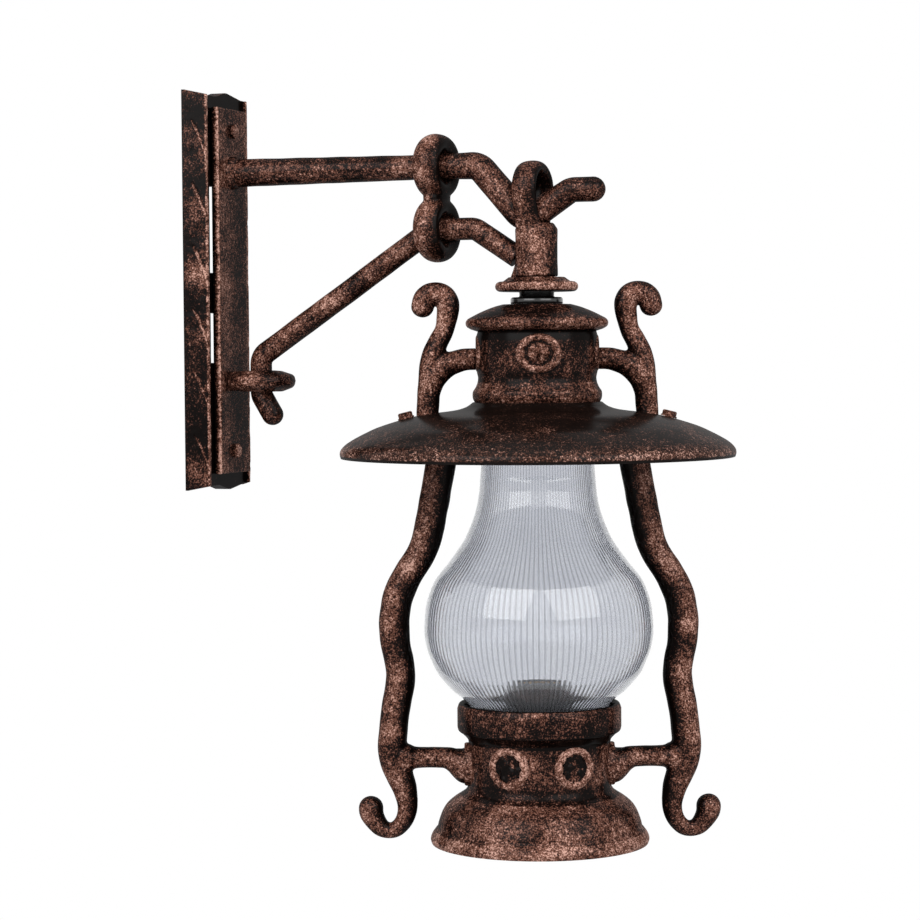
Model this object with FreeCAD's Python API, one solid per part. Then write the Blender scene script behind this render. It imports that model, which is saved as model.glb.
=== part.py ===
import FreeCAD, Part
import math
import os

# Electric wall lantern in the form of an oil lamp, in millimetres.
# A wall bracket of bent round rod ends in a hanger stem. The lantern body hangs under the stem
# on a hollow threaded tube, on which it turns.
# The origin lies on the wall in the middle of the plate's back.
# X runs out from the wall, Y along the wall and Z up.

V = FreeCAD.Vector
UP = V(0, 0, 1)
OUT = V(1, 0, 0)
ALONG = V(0, 1, 0)

# Shared values
overrun = 2.0
slip_gap = 0.08
screw_gap = 0.3
weld_gap = 0.1
swivel_gap = 0.35
face_angle = 20.0
outline_steps = 24

# Wall plate: a casting with two sloping wings and a sunk floor behind the bar
plate_end = 12.5
plate_width = 107.0
plate_edge = 2.5
plate_ridge = 16.0
plate_ridge_span = 80.0
plate_ridge_flat = 2.5
plate_floor = 12.6
plate_dip = 3.0
plate_peak_place = 5.0
plate_peak_run = 20.0
plate_point = 1.8
pocket_depth = 6.0
pocket_width = 68.0
pocket_end = 17.5
slot_margin = 1.2
slot_high_low = 15.0
slot_high_margin = 10.0
slot_low_margin = 14.6
slot_low_top = -18.0
wall_hole_inset = 20.5
wall_hole_radius = 3.5
wall_sink_radius = 6.6

# Chisel strokes in the wings
stroke_count = 6
stroke_pitch = 52.0
stroke_rise = 24.0
stroke_width = 1.2
stroke_depth = 0.7
stroke_spread = 3.2
stroke_start_share = 0.30
stroke_lift = 10.0

# Bar that carries the rods. Its two bolts set the plate's, the pocket's and the bar's ends.
bar_bolt_spacing = 265.0
bar_end = 18.5
bar_width = 55.0
bar_thick = 6.6
bar_bevel = 1.2

# M6 bolts of the bar
bolt_radius = 3.0
bolt_flats = 10.0
bolt_head = 4.0
washer_thick = 1.3
washer_radius = 7.5
nut_height = 4.5

# Upper rod: a tube that carries the load and the leads.
# A name with back in it is a distance from the stem's axis towards the wall, one with drop a fall
# from the rod's height.
rod_bolt_gap = 34.5
rod_root_radius = 11.7
rod_radius = 10.0
rod_knee_radius = 11.3
rod_low_radius = 11.8
rod_tip_radius = 10.0
rod_steps = 48
rod_taper_share = 0.83
rod_weld_radius = 14.0
rod_weld_length = 5.0
rod_bore = 4.5
rod_knee_back = 48.5
rod_knee_round = 14.0
rod_low_back = 8.7
rod_low_drop = 45.0
rod_low_round = 12.0
rod_tip_out = 29.6
rod_tip_drop = 21.4
rod_tip_length = 18.0
grommet_flange = 2.0
grommet_lip = 2.5
grommet_bore = 3.5

# Brace rod
brace_radius = 9.1
brace_round = 12.0
brace_foot_reach = 44.8
brace_foot_rise = 20.2
brace_bend_drop = 11.4
brace_tail_out = 9.8
brace_tail_drop = 16.2
brace_ring_lead = 4.9
brace_top_back = 51.5
brace_land_height = 13.4

# Eye that holds the foot of the brace
eye_bolt_gap = 57.9
eye_lug_radius = 28.8
eye_lug_hub = 17.5
eye_lug_rim = 9.0
eye_lug_hub_share = 0.62
eye_lug_edge = 2.0
eye_neck_width = 20.0
eye_neck_height = 15.0

# Two welded rings round the rods, of oval section
ring_back = 84.5
ring_pitch = 50.6
ring_radius = 18.6
ring_wire = 8.2
ring_depth = 11.6
ring_angle = -8.0
ring_weld_radius = 9.0
ring_weld_length = 22.0

# Hanger stem with its teardrop eye
stem_reach = 286.0
stem_radius = 17.2
stem_top_drop = 1.0
stem_eye_radius = 18.5
stem_eye_wire = 5.5
stem_eye_depth = 10.5
stem_eye_rise = 48.0
stem_eye_leg = 28.0
stem_taper_angle = 17.0
stem_eye_angle = -4.0
stem_eye_shift = -3.0
gusset_reach = 4.5
gusset_height = 12.0
gusset_thick = 6.0

# Flange under the stem
flange_bottom = -3.8
flange_height = 11.4
flange_radius = 33.2
flange_crown_radius = 22.5
flange_edge = 8.0

# Hollow threaded tube, bush and nuts of the swivel
tube_radius = 6.5
tube_bore = 5.0
tube_engage = 36.0
bush_neck_radius = 14.0
bush_neck_height = 4.6
bush_flange_radius = 21.0
bush_flange_height = 5.2
thrust_radius = 19.0
thrust_thick = 2.5
tube_nut_flats = 19.0
tube_nut_height = 6.5
tube_nut_angle = 15.0
tube_tail = 4.0

# Top pot: dome, drum and bead in one casting
pot_height = 78.0
pot_brim = 8.4
pot_wall = 4.0
pot_roof = 8.0
pot_foot_inset = 4.2
pot_foot_lip = 3.6
pot_foot_height = 8.0
# Radius over the drum's as a share of pot_brim, drop as a share of pot_height
pot_dome_shares = [(-2.529, 0.000), (-1.646, 0.026), (-0.561, 0.072), (0.321, 0.119), (0.830, 0.151),
                   (1.000, 0.186), (0.891, 0.226), (0.491, 0.254)]
pot_drum_shares = [(-0.140, 0.276), (-0.031, 0.320), (0.036, 0.390), (0.030, 0.560), (-0.031, 0.680),
                   (-0.154, 0.750), (-0.072, 0.808)]
pot_bead_shares = [(-0.072, 0.808), (0.104, 0.850), (0.355, 0.895), (0.362, 0.955), (0.186, 1.000)]
pot_shoulder_share = 0.61

# Medallion rings on the pot
badge_drop_share = 0.500
badge_radius = 14.6
badge_wire = 3.5
badge_sink = 1.4
side_badge_sink = 3.2
badge_flatten_share = 0.86
badge_boss_radius = 8.0
badge_boss_height = 2.4
pot_boss_radius = 9.6
pot_boss_proud = 1.8
pot_boss_drop_share = 0.556

# Shade: spun sheet with a thick rim
shade_radius = 158.4
shade_depth = 44.0
shade_thick = 3.0
shade_lip = 4.5
shade_neck_gap = 0.6
shade_steps = 96
# Way from the neck to shade_radius as a share, drop as a share of shade_depth
shade_shares = [(0.000, 0.000), (0.020, 0.036), (0.052, 0.086), (0.116, 0.136), (0.207, 0.170),
                (0.313, 0.200), (0.416, 0.240), (0.565, 0.330), (0.715, 0.447), (0.806, 0.545),
                (0.895, 0.657), (0.956, 0.752), (0.991, 0.845), (1.000, 0.925), (0.993, 1.000)]

# Screws that hold shade and glass gallery to the pot
foot_screw_inset = 3.2
foot_screw_radius = 2.0
foot_screw_head_radius = 3.4
foot_screw_head = 2.5
foot_screw_grip = 6.0
foot_screw_count = 3
foot_screw_angle = 30.0

# Gallery that holds the top of the glass
gallery_flange = 2.0
gallery_wall = 2.6
gallery_bevel = 5.0
gallery_height = 26.0
gallery_seal_thick = 3.2
gallery_seal_height = 8.0
gallery_screw_radius = 2.0
gallery_screw_drop = 18.0
gallery_screw_knob = 4.5
gallery_screw_angle = 90.0

# Glass
glass_height = 244.2
glass_neck = 45.2
glass_swell = 46.8
glass_thick = 3.0
glass_top_drop = 9.0
# Radius over glass_neck as a share of glass_swell, drop as a share of glass_height
glass_shares = [(0.000, 0.000), (0.000, 0.080), (0.007, 0.160), (0.025, 0.200), (0.043, 0.240),
                (0.102, 0.299), (0.214, 0.358), (0.316, 0.398), (0.454, 0.437), (0.607, 0.477),
                (0.778, 0.517), (0.880, 0.556), (0.949, 0.596), (0.982, 0.635), (1.000, 0.685),
                (0.990, 0.715), (0.949, 0.754), (0.872, 0.793), (0.770, 0.833), (0.599, 0.872),
                (0.495, 0.892), (0.359, 0.912), (0.257, 0.932), (0.210, 0.955), (0.192, 0.977),
                (0.188, 1.000)]
seat_thick = 3.0
seat_overlap = 4.5

# Base: collar, waist and bell foot in one casting
base_height = 112.6
base_swell = 35.2
collar_gap = 1.0
collar_ledge = 7.1
collar_depth = 20.0
base_wall = 4.5
# Radius over base_bore as a share of base_swell, drop as a share of base_height
base_collar_shares = [(0.229, 0.012), (0.273, 0.000), (0.341, 0.006), (0.383, 0.040)]
base_collar_foot_shares = [(0.383, 0.168), (0.358, 0.195), (0.268, 0.216), (0.159, 0.252),
                           (0.131, 0.280), (0.124, 0.320)]
base_bell_shares = [(0.129, 0.530), (0.141, 0.588), (0.204, 0.626), (0.313, 0.653), (0.472, 0.685),
                    (0.622, 0.724), (0.719, 0.767), (0.783, 0.814), (0.828, 0.857), (0.846, 0.886)]
base_lip_shares = [(0.900, 0.905), (0.975, 0.938), (1.010, 0.972), (0.985, 1.000)]
base_badge_drop_share = 0.410
base_badge_angle = 27.5
base_badge_radius = 13.8
base_badge_wire = 3.4
base_boss_radius = 17.4
base_boss_proud = 3.6
base_boss_drop = 3.5
base_boss_round = 1.5
cover_rim = 5.0
cover_thick = 2.5
cover_recess = 3.4
gasket_width = 3.2
gasket_thick = 1.0
post_radius = 5.0
post_inset = 13.6
post_count = 3
post_angle = 90.0
post_rise = 27.0
cover_screw_radius = 2.0
cover_screw_head_radius = 3.6
cover_screw_head = 2.2
cover_screw_grip = 14.0

# Lampholder and its plate
plate_disc_gap = 0.8
holder_plate_thick = 2.5
holder_plate_drop = 4.0
holder_radius = 20.5
holder_height = 39.5
holder_bore = 14.0
holder_bore_depth = 31.0
holder_shell_wall = 0.7
holder_shell_height = 25.0
contact_radius = 4.0
contact_height = 3.0
lug_width = 12.0
lug_height = 8.0
lug_reach = 13.0
plate_screw_inset = 7.4
small_screw_radius = 2.0
small_screw_head_radius = 3.4
small_screw_head = 2.4
small_screw_length = 9.0
holder_screw_spacing = 32.0
terminal_length = 20.0
terminal_width = 12.0
terminal_height = 12.0
terminal_offset = 30.0

# Upper arms: scroll, spoke and foot
scroll_lean = 7.0
scroll_lift = 8.4
scroll_path_radius = 10.1
scroll_wire = 9.4
scroll_steps = 6
arm_steps = 48
scroll_line_steps = 40
spoke_steps = 16
arm_foot_reach = 88.0
upper_arm_lift = 24.0
# Reach as a share of arm_foot_reach, height over the foot as a share of upper_arm_rise,
# radius as a share of arm_radius
upper_arm_shares = [(0.815, 0.757, 0.700), (0.842, 0.657, 0.640), (0.895, 0.568, 0.675),
                    (0.940, 0.478, 0.740), (0.963, 0.384, 0.775), (0.976, 0.275, 0.765),
                    (0.988, 0.165, 0.755), (0.996, 0.055, 0.745), (1.000, -0.070, 0.745)]
upper_spoke_radius = 8.9
upper_spoke_fall = 30.0
# Way out from the pot as a share of the gap to the arm, fall as a share of upper_spoke_fall,
# radius as a share of upper_spoke_radius
upper_spoke_shares = [(0.00, 0.00, 1.00), (0.22, 0.01, 1.02), (0.40, 0.06, 1.06), (0.60, 0.15, 1.14),
                      (0.80, 0.34, 1.20), (0.93, 0.60, 1.16), (1.00, 1.10, 0.88)]

# Lower arms: pad under the shade, spoke and hook
arm_radius = 12.4
arm_clear = 26.6
hook_level_share = 0.744
# Reach as a share of lower_arm_reach, drop as a share of lower_arm_drop,
# radius as a share of arm_radius
lower_arm_shares = [(0.613, 0.000, 1.00), (0.658, 0.124, 1.00), (0.687, 0.183, 1.00),
                    (0.718, 0.241, 1.00), (0.751, 0.298, 0.99), (0.784, 0.330, 0.98),
                    (0.829, 0.359, 0.97), (0.880, 0.388, 0.98), (0.924, 0.417, 1.00),
                    (0.955, 0.448, 1.01), (0.976, 0.490, 1.00), (0.977, 0.524, 1.00),
                    (0.968, 0.564, 0.98), (0.949, 0.596, 0.97), (0.937, 0.630, 0.97),
                    (0.946, 0.666, 0.97), (0.975, 0.725, 0.95), (0.992, 0.777, 0.96),
                    (0.998, 0.820, 0.96), (0.980, 0.854, 0.93), (0.944, 0.886, 0.89),
                    (0.911, 0.920, 0.79), (0.898, 0.956, 0.68), (0.914, 0.987, 0.62),
                    (0.958, 1.009, 0.57), (1.013, 1.018, 0.54), (1.069, 1.012, 0.60),
                    (1.115, 0.994, 0.71), (1.140, 0.976, 0.79), (1.145, 0.962, 0.82)]
lower_spoke_lift = 2.0
lower_spoke_radius = 8.8
lower_spoke_flare = 16.9
lower_spoke_flare_length = 9.0
# Way out from the base in flare lengths, fall as a share of the boss's drop, radius as a share
flare_shares = [(0.00, 1.00, 1.00), (0.20, 0.98, 0.88), (0.60, 0.75, 0.74), (1.20, 0.30, 0.58),
                (1.80, 0.00, 0.52)]
spoke_fillet_shares = [(1.50, 1.00), (1.00, 1.27), (0.00, 1.30)]
pad_inset = 27.0
pad_margin = 11.0
pad_width = 22.0
pad_bottom_drop = 24.0
lead_bore = 3.5
shade_bolt_out = 17.0
shade_bolt_length = 10.0
shade_washer_radius = 6.6
shade_washer_thick = 1.2
arm_screw_depth = 12.0

# Hollow tubes that join the spokes to pot and base
spoke_tube_radius = 5.0
spoke_tube_bore = 3.5
spoke_tube_grip = 16.0
spoke_nut_flats = 14.0
spoke_nut_height = 4.0
spoke_tube_tail = 2.0


def flat(points):
    """Face in the XZ plane through (x, z) points."""
    corners = [V(x, 0, z) for x, z in points]
    return Part.Face(Part.makePolygon(corners + corners[:1]))


def revolved(runs):
    """Solid of revolution about Z from straight and smooth runs of (radius, height) points."""
    edges = []
    first = last = None
    for kind, points in runs:
        places = [V(x, 0, z) for x, z in points]
        if last is not None and (places[0] - last).Length > Part.Precision.confusion():
            edges.append(Part.makeLine(last, places[0]))
        if first is None:
            first = places[0]
        if kind == "smooth":
            curve = Part.BSplineCurve()
            curve.interpolate(places)
            edges.append(curve.toShape())
        else:
            for start, end in zip(places, places[1:]):
                edges.append(Part.makeLine(start, end))
        last = places[-1]
    if (first - last).Length > Part.Precision.confusion():
        edges.append(Part.makeLine(last, first))
    return Part.Face(Part.Wire(edges)).revolve(V(), UP, 360)


def smooth_points(points, steps=outline_steps):
    """Even points along the smooth curve through the given (radius, height) points."""
    curve = Part.BSplineCurve()
    curve.interpolate([V(x, 0, z) for x, z in points])
    return [(place.x, place.z) for place in curve.discretize(Number=steps)]


def inset(points, thick):
    """Points moved by a wall thickness to the left of the direction of travel."""
    moved = []
    for index, (x, z) in enumerate(points):
        before = points[max(index - 1, 0)]
        after = points[min(index + 1, len(points) - 1)]
        run, rise = after[0] - before[0], after[1] - before[1]
        size = math.hypot(run, rise)
        moved.append((x + rise / size * thick, z - run / size * thick))
    return moved


def swelled(shares, neck, swell, top, height):
    """(radius, height) points from shares of a swell over a neck's radius and of a drop under a level."""
    return [(neck + swell * reach, top - height * drop) for reach, drop in shares]


def tube_ring(bottom, top, outer, inner):
    """Upright ring between two levels."""
    body = Part.makeCylinder(outer, top - bottom, V(0, 0, bottom))
    return body.cut(Part.makeCylinder(inner, top - bottom + 2 * overrun, V(0, 0, bottom - overrun)))


def hex_prism(flats, height, bottom=0.0):
    """Upright hexagonal prism on the Z axis."""
    corner = flats / math.sqrt(3)
    turns = [math.radians(60 * side) for side in range(6)]
    points = [V(corner * math.cos(turn), corner * math.sin(turn), bottom) for turn in turns]
    return Part.Face(Part.makePolygon(points + points[:1])).extrude(UP * height)


def hex_bolt(radius, flats, head, length):
    """Bolt with its head above the XY plane and its shank below."""
    return hex_prism(flats, head).fuse(Part.makeCylinder(radius, length, V(0, 0, -length)))


def pan_screw(radius, head_radius, head, length):
    """Screw with its head below the XY plane and its shank above."""
    body = Part.makeCylinder(head_radius, head, V(0, 0, -head))
    return body.fuse(Part.makeCylinder(radius, length))


def hex_nut(flats, height, hole):
    """Nut on the XY plane."""
    return hex_prism(flats, height).cut(Part.makeCylinder(hole, height + 2 * overrun, V(0, 0, -overrun)))


def turned(shape, angle, axis=UP, centre=None):
    """Copy of a shape turned about an axis through a point."""
    copy = shape.copy()
    copy.rotate(centre or V(), axis, angle)
    return copy


def moved(shape, x=0.0, y=0.0, z=0.0):
    """Copy of a shape moved along the axes."""
    copy = shape.copy()
    copy.translate(V(x, y, z))
    return copy


def out_facing(shape, x=0.0, y=0.0, z=0.0):
    """Copy of an upright shape laid so that its Z axis points along X, then moved."""
    return moved(turned(shape, 90, ALONG), x, y, z)


def mirrored(shape):
    """Copy mirrored across the YZ plane."""
    return shape.mirror(V(), OUT)


def around(shape, count, start=0.0):
    """Copies spaced evenly about the Z axis."""
    return [turned(shape, start + 360.0 / count * index) for index in range(count)]


def group(shapes):
    """Separate solids kept in one node."""
    return Part.makeCompound(shapes)


def united(shapes):
    """One solid made of several, joined one after another."""
    whole = shapes[0]
    for shape in shapes[1:]:
        whole = whole.fuse(shape)
    return whole


def rounded_path(points, rounds):
    """Wire in the XZ plane through the points, with an arc of its own radius at each inner one."""
    places = [V(x, 0, z) for x, z in points]
    edges = []
    cursor = places[0]
    for before, corner, after, size in zip(places, places[1:], places[2:], rounds):
        inward = (corner - before).normalize()
        onward = (after - corner).normalize()
        turn = inward.getAngle(onward)
        trim = size * math.tan(turn / 2)
        start, end = corner - inward * trim, corner + onward * trim
        middle = corner + (onward - inward).normalize() * size * (1 / math.cos(turn / 2) - 1)
        edges.append(Part.makeLine(cursor, start))
        edges.append(Part.Arc(start, middle, end).toShape())
        cursor = end
    edges.append(Part.makeLine(cursor, places[-1]))
    return Part.Wire(edges)


def swept(path, radius):
    """Round bar along a wire."""
    start = path.OrderedEdges[0]
    place = start.valueAt(start.FirstParameter)
    direction = start.tangentAt(start.FirstParameter)
    section = Part.Wire(Part.makeCircle(radius, place, direction))
    return path.makePipeShell([section], True, True)


def dome_end(place, direction, radius):
    """Half ball that closes the end of a round bar."""
    return Part.makeSphere(radius, place, direction, 0, 90, 360)


def loft_circle(place, heading, radius):
    """Circle square to a heading in the XZ plane, with a steady start point."""
    circle = Part.makeCircle(radius)
    circle.rotate(V(), ALONG, math.degrees(math.atan2(heading.x, heading.z)))
    circle.translate(place)
    return Part.Wire(circle)


def swelling_tube(stations, steps=0, round_start=False, round_end=False):
    """Round bar of changing radius through (x, z, radius) stations in the XZ plane.

    With steps, a smooth line is first drawn through the stations and cut into that many lengths.
    """
    if steps:
        line = Part.BSplineCurve()
        line.interpolate([V(x, radius, z) for x, z, radius in stations])
        stations = [(place.x, place.z, place.y) for place in line.discretize(Number=steps + 1)]
    places = [V(x, 0, z) for x, z, radius in stations]
    headings = []
    for index in range(len(places)):
        before = places[max(index - 1, 0)]
        after = places[min(index + 1, len(places) - 1)]
        headings.append((after - before).normalize())
    rings = [loft_circle(place, heading, station[2])
             for place, heading, station in zip(places, headings, stations)]
    body = Part.makeLoft(rings, True, True)
    if round_start:
        body = body.fuse(dome_end(places[0], headings[0] * -1, stations[0][2]))
    if round_end:
        body = body.fuse(dome_end(places[-1], headings[-1], stations[-1][2]))
    return body


def between(table, value, column=0):
    """Value of a column of a table at a given height (second column), by straight lines."""
    for first, second in zip(table, table[1:]):
        low, high = sorted((first[1], second[1]))
        if low <= value <= high and low < high:
            share = (value - first[1]) / (second[1] - first[1])
            return first[column] + (second[column] - first[column]) * share
    return table[-1][column]


# Places along the bracket
bar_height = bar_bolt_spacing + 2 * bar_end
pocket_height = bar_bolt_spacing + 2 * pocket_end
plate_height = bar_height + 2 * plate_end
wall_hole_spacing = bar_bolt_spacing - 2 * wall_hole_inset
rod_height = bar_bolt_spacing / 2 - rod_bolt_gap
eye_lug_height = eye_bolt_gap - bar_bolt_spacing / 2
slot_high_top = rod_height - slot_high_margin
slot_low_low = eye_lug_height + slot_low_margin
bar_back = plate_floor + washer_thick
bar_front = bar_back + bar_thick
rod_knee = stem_reach - rod_knee_back
rod_low_reach = stem_reach - rod_low_back
rod_tip_reach = stem_reach + rod_tip_out
rod_end_reach = rod_tip_reach + rod_tip_length
rod_taper_length = rod_taper_share * (rod_knee - bar_front)
rod_low_height = rod_height - rod_low_drop
rod_tip_height = rod_height - rod_tip_drop
ring_reach = stem_reach - ring_back
brace_top_height = rod_height - ring_pitch
brace_top_start = ring_reach - brace_ring_lead
brace_top_end = stem_reach - brace_top_back
brace_foot_height = eye_lug_height + brace_foot_rise
brace_bend_height = eye_lug_height - brace_bend_drop
stem_top = rod_low_height - stem_top_drop
stem_eye_top = rod_low_height + stem_eye_rise

# Radii of the lantern body, from the neck of the glass out
gallery_radius = glass_neck + gallery_seal_thick + gallery_wall
shade_neck = gallery_radius + shade_neck_gap
shade_bore = glass_neck - pot_foot_inset
foot_screw_circle = shade_bore + foot_screw_inset
pot_bore = shade_bore + pot_foot_lip
pot_drum_radius = pot_bore + pot_wall
pot_boss_face = pot_drum_radius + pot_boss_proud
glass_radius = glass_neck + glass_swell
glass_foot = glass_neck + glass_swell * glass_shares[-1][0]
collar_bore = glass_foot + seat_overlap + collar_gap
base_bore = collar_bore - collar_ledge
base_waist = base_bore + base_swell * base_collar_foot_shares[-1][0]
base_boss_face = base_waist + base_boss_proud
cover_radius = base_bore + base_swell - cover_rim
post_circle = cover_radius - post_inset
plate_screw_circle = base_bore - plate_screw_inset
lower_arm_reach = glass_radius + arm_clear
lower_arm_drop = glass_height + base_height * hook_level_share
upper_arm_rise = pot_height + upper_arm_lift
scroll_pivot_reach = arm_foot_reach - scroll_lean
scroll_pivot_height = pot_height + scroll_lift
pad_inner = arm_foot_reach - pad_inset
shade_bolt_circle = arm_foot_reach + shade_bolt_out
pad_outer = shade_bolt_circle + pad_margin

# Levels of the lantern body, from the flange down
flange_top = flange_bottom + flange_height
bush_bottom = flange_bottom - bush_neck_height - bush_flange_height
pot_top = bush_bottom - swivel_gap
pot_bottom = pot_top - pot_height
roof_under = pot_top - pot_roof
shade_top = pot_bottom
shade_bottom = shade_top - shade_depth
gallery_top = shade_top - shade_thick
glass_top = gallery_top - gallery_flange - glass_top_drop
glass_bottom = glass_top - glass_height
seat_bottom = glass_bottom - seat_thick
base_top = seat_bottom + collar_depth
base_bottom = base_top - base_height
badge_height = pot_top - badge_drop_share * pot_height
spoke_height = pot_top - pot_boss_drop_share * pot_height
base_badge_height = base_top - base_badge_drop_share * base_height
base_boss_height = base_badge_height - base_boss_drop
lower_spoke_height = base_badge_height + lower_spoke_lift
gasket_top = base_bottom + cover_recess + cover_thick + gasket_thick
cover_top = gasket_top - gasket_thick
cover_bottom = cover_top - cover_thick
holder_plate_top = seat_bottom - holder_plate_drop
holder_plate_bottom = holder_plate_top - holder_plate_thick
glass_outer = swelled(glass_shares, glass_neck, glass_swell, glass_top, glass_height)
shade_outer = swelled(shade_shares, shade_neck, shade_radius - shade_neck, shade_top, shade_depth)
shade_line = smooth_points(shade_outer, shade_steps)
pad_bottom = shade_top - pad_bottom_drop


def shade_level(radius):
    """Height of the shade's upper face at a radius."""
    for (near, high), (far, low) in zip(shade_line, shade_line[1:]):
        if near <= radius <= far:
            return high + (low - high) * (radius - near) / (far - near)
    return shade_top


def shade_tilt(radius):
    """Angle in degrees by which the shade's upper face falls outward at a radius."""
    for (near, high), (far, low) in zip(shade_line, shade_line[1:]):
        if near <= radius <= far:
            return math.degrees(math.atan2(high - low, far - near))
    return 0.0


def on_shade(shape, radius):
    """Copy of an upright shape set square on the shade at a radius along X."""
    return moved(turned(shape, shade_tilt(radius), ALONG), radius, 0, shade_level(radius))


def shade_underside():
    """Points of the shade's lower face, from the neck to the lip."""
    under = inset(smooth_points(shade_outer[:-2]), shade_thick)
    return [(x, z) for x, z in under if x < shade_radius - shade_lip and z > shade_bottom]


# Wall bracket
def wall_plate():
    half, ridge = plate_width / 2, plate_ridge_span / 2
    inner = ridge - plate_ridge_flat
    section = [(0, -half), (plate_edge, -half), (plate_ridge, -ridge), (plate_ridge, -inner),
               (plate_floor, -inner), (plate_floor, inner), (plate_ridge, inner),
               (plate_ridge, ridge), (plate_edge, half), (0, half)]
    rows = [V(x, y, -plate_height) for x, y in section]
    body = Part.Face(Part.makePolygon(rows + rows[:1])).extrude(UP * 2 * plate_height)
    corner, dip = plate_height / 2, plate_height / 2 - plate_dip
    side = [(half, corner), (ridge, dip), (plate_peak_place, corner + plate_point),
            (plate_peak_place - plate_peak_run, dip), (-ridge, dip), (-half, corner)]
    outline = [V(-overrun, y, z) for y, z in side] + [V(-overrun, y, -z) for y, z in reversed(side)]
    prism = Part.Face(Part.makePolygon(outline + outline[:1])).extrude(OUT * (plate_ridge + 2 * overrun))
    body = body.common(prism)
    body = body.cut(Part.makeBox(pocket_depth + overrun, pocket_width, pocket_height,
                                 V(-overrun, -pocket_width / 2, -pocket_height / 2)))
    holes = []
    slot_width = bar_width + 2 * slot_margin
    for low, top in ((slot_high_low, slot_high_top), (slot_low_low, slot_low_top)):
        holes.append(Part.makeBox(plate_floor + overrun, slot_width, top - low, V(0, -slot_width / 2, low)))
    for height in (-wall_hole_spacing / 2, wall_hole_spacing / 2):
        holes.append(out_facing(Part.makeCylinder(wall_hole_radius, plate_floor + overrun), z=height))
        sink = Part.makeCone(wall_hole_radius, wall_sink_radius, wall_sink_radius - wall_hole_radius)
        holes.append(out_facing(sink, plate_floor - wall_sink_radius + wall_hole_radius, 0, height))
    for height in (-bar_bolt_spacing / 2, bar_bolt_spacing / 2):
        holes.append(out_facing(Part.makeCylinder(bolt_radius + screw_gap, plate_floor + overrun), z=height))
    holes.append(out_facing(Part.makeCylinder(rod_bore + grommet_lip, plate_floor + overrun), z=rod_height))
    return body.cut(holes + chisel_strokes())


def chisel_strokes():
    """Pairs of shallow cuts that run up and out from the ridge of each wing."""
    half, ridge = plate_width / 2, plate_ridge_span / 2
    slope = math.degrees(math.atan2(plate_ridge - plate_edge, half - ridge))
    wing = math.hypot(plate_ridge - plate_edge, half - ridge)
    across = wing * (1 - stroke_start_share)
    length = math.hypot(across, stroke_rise)
    lean = math.degrees(math.atan2(across, stroke_rise))
    cuts = []
    for row in range(stroke_count):
        level = (row - (stroke_count - 1) / 2) * stroke_pitch + stroke_lift
        for step in (0, 1):
            cut = Part.makeBox(2 * stroke_depth, stroke_width, length, V(-stroke_depth, 0, 0))
            cut = moved(turned(cut, lean, OUT), 0, step * stroke_spread, 0)
            cut = turned(cut, 90 - slope - 90, UP)
            cut = moved(cut, plate_ridge, -ridge, level - stroke_rise / 2)
            cuts += [cut, cut.mirror(V(), ALONG)]
    return cuts


def front_bar():
    body = Part.makeBox(bar_thick, bar_width, bar_height, V(bar_back, -bar_width / 2, -bar_height / 2))
    edges = [edge for edge in body.Edges
             if all(abs(vertex.X - bar_front) < slip_gap for vertex in edge.Vertexes)]
    body = body.makeChamfer(bar_bevel, edges)
    holes = [out_facing(Part.makeCylinder(bolt_radius + screw_gap, bar_front + overrun), z=height)
             for height in (-bar_bolt_spacing / 2, bar_bolt_spacing / 2)]
    holes.append(out_facing(Part.makeCylinder(rod_bore + grommet_lip, bar_front + overrun), z=rod_height))
    return body.cut(holes)


def bar_bolts():
    bolt = hex_bolt(bolt_radius, bolt_flats, bolt_head, bar_front - pocket_depth + nut_height)
    return group([out_facing(bolt, bar_front, 0, side * bar_bolt_spacing / 2) for side in (-1, 1)])


def bar_spacers():
    washer = tube_ring(0, washer_thick, washer_radius, bolt_radius + screw_gap)
    return group([out_facing(washer, plate_floor, 0, side * bar_bolt_spacing / 2) for side in (-1, 1)])


def bar_nuts():
    nut = hex_nut(bolt_flats, nut_height, bolt_radius + slip_gap)
    return group([out_facing(nut, pocket_depth - nut_height, 0, side * bar_bolt_spacing / 2)
                  for side in (-1, 1)])


def inlet_grommet():
    outer = rod_bore + grommet_lip
    body = tube_ring(plate_floor, bar_front, outer - slip_gap, grommet_bore)
    flange = tube_ring(pocket_depth - grommet_flange, pocket_depth, outer + grommet_lip, grommet_bore)
    neck = tube_ring(pocket_depth, plate_floor, outer - slip_gap, grommet_bore)
    return out_facing(united([body, neck, flange]), 0, 0, rod_height)


def rod_corners():
    return [(bar_front + rod_taper_length, rod_height), (rod_knee, rod_height),
            (rod_low_reach, rod_low_height), (rod_tip_reach, rod_tip_height),
            (rod_end_reach, rod_tip_height)]


def rod_path():
    return rounded_path(rod_corners(), [rod_knee_round, rod_low_round, rod_low_round])


def rod_outer(extra=0.0):
    root = out_facing(Part.makeCone(rod_root_radius + extra, rod_radius + extra, rod_taper_length),
                      bar_front, 0, rod_height)
    girths = [(bar_front + rod_taper_length, rod_radius), (rod_knee, rod_knee_radius),
              (rod_low_reach, rod_low_radius), (rod_tip_reach, rod_tip_radius),
              (rod_end_reach, rod_tip_radius)]
    stations = []
    for place in rod_path().discretize(Number=rod_steps):
        girth = between([(size, reach) for reach, size in girths], place.x)
        stations.append((place.x, place.z, girth + extra))
    return united([root, swelling_tube(stations, round_end=True)])


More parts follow.
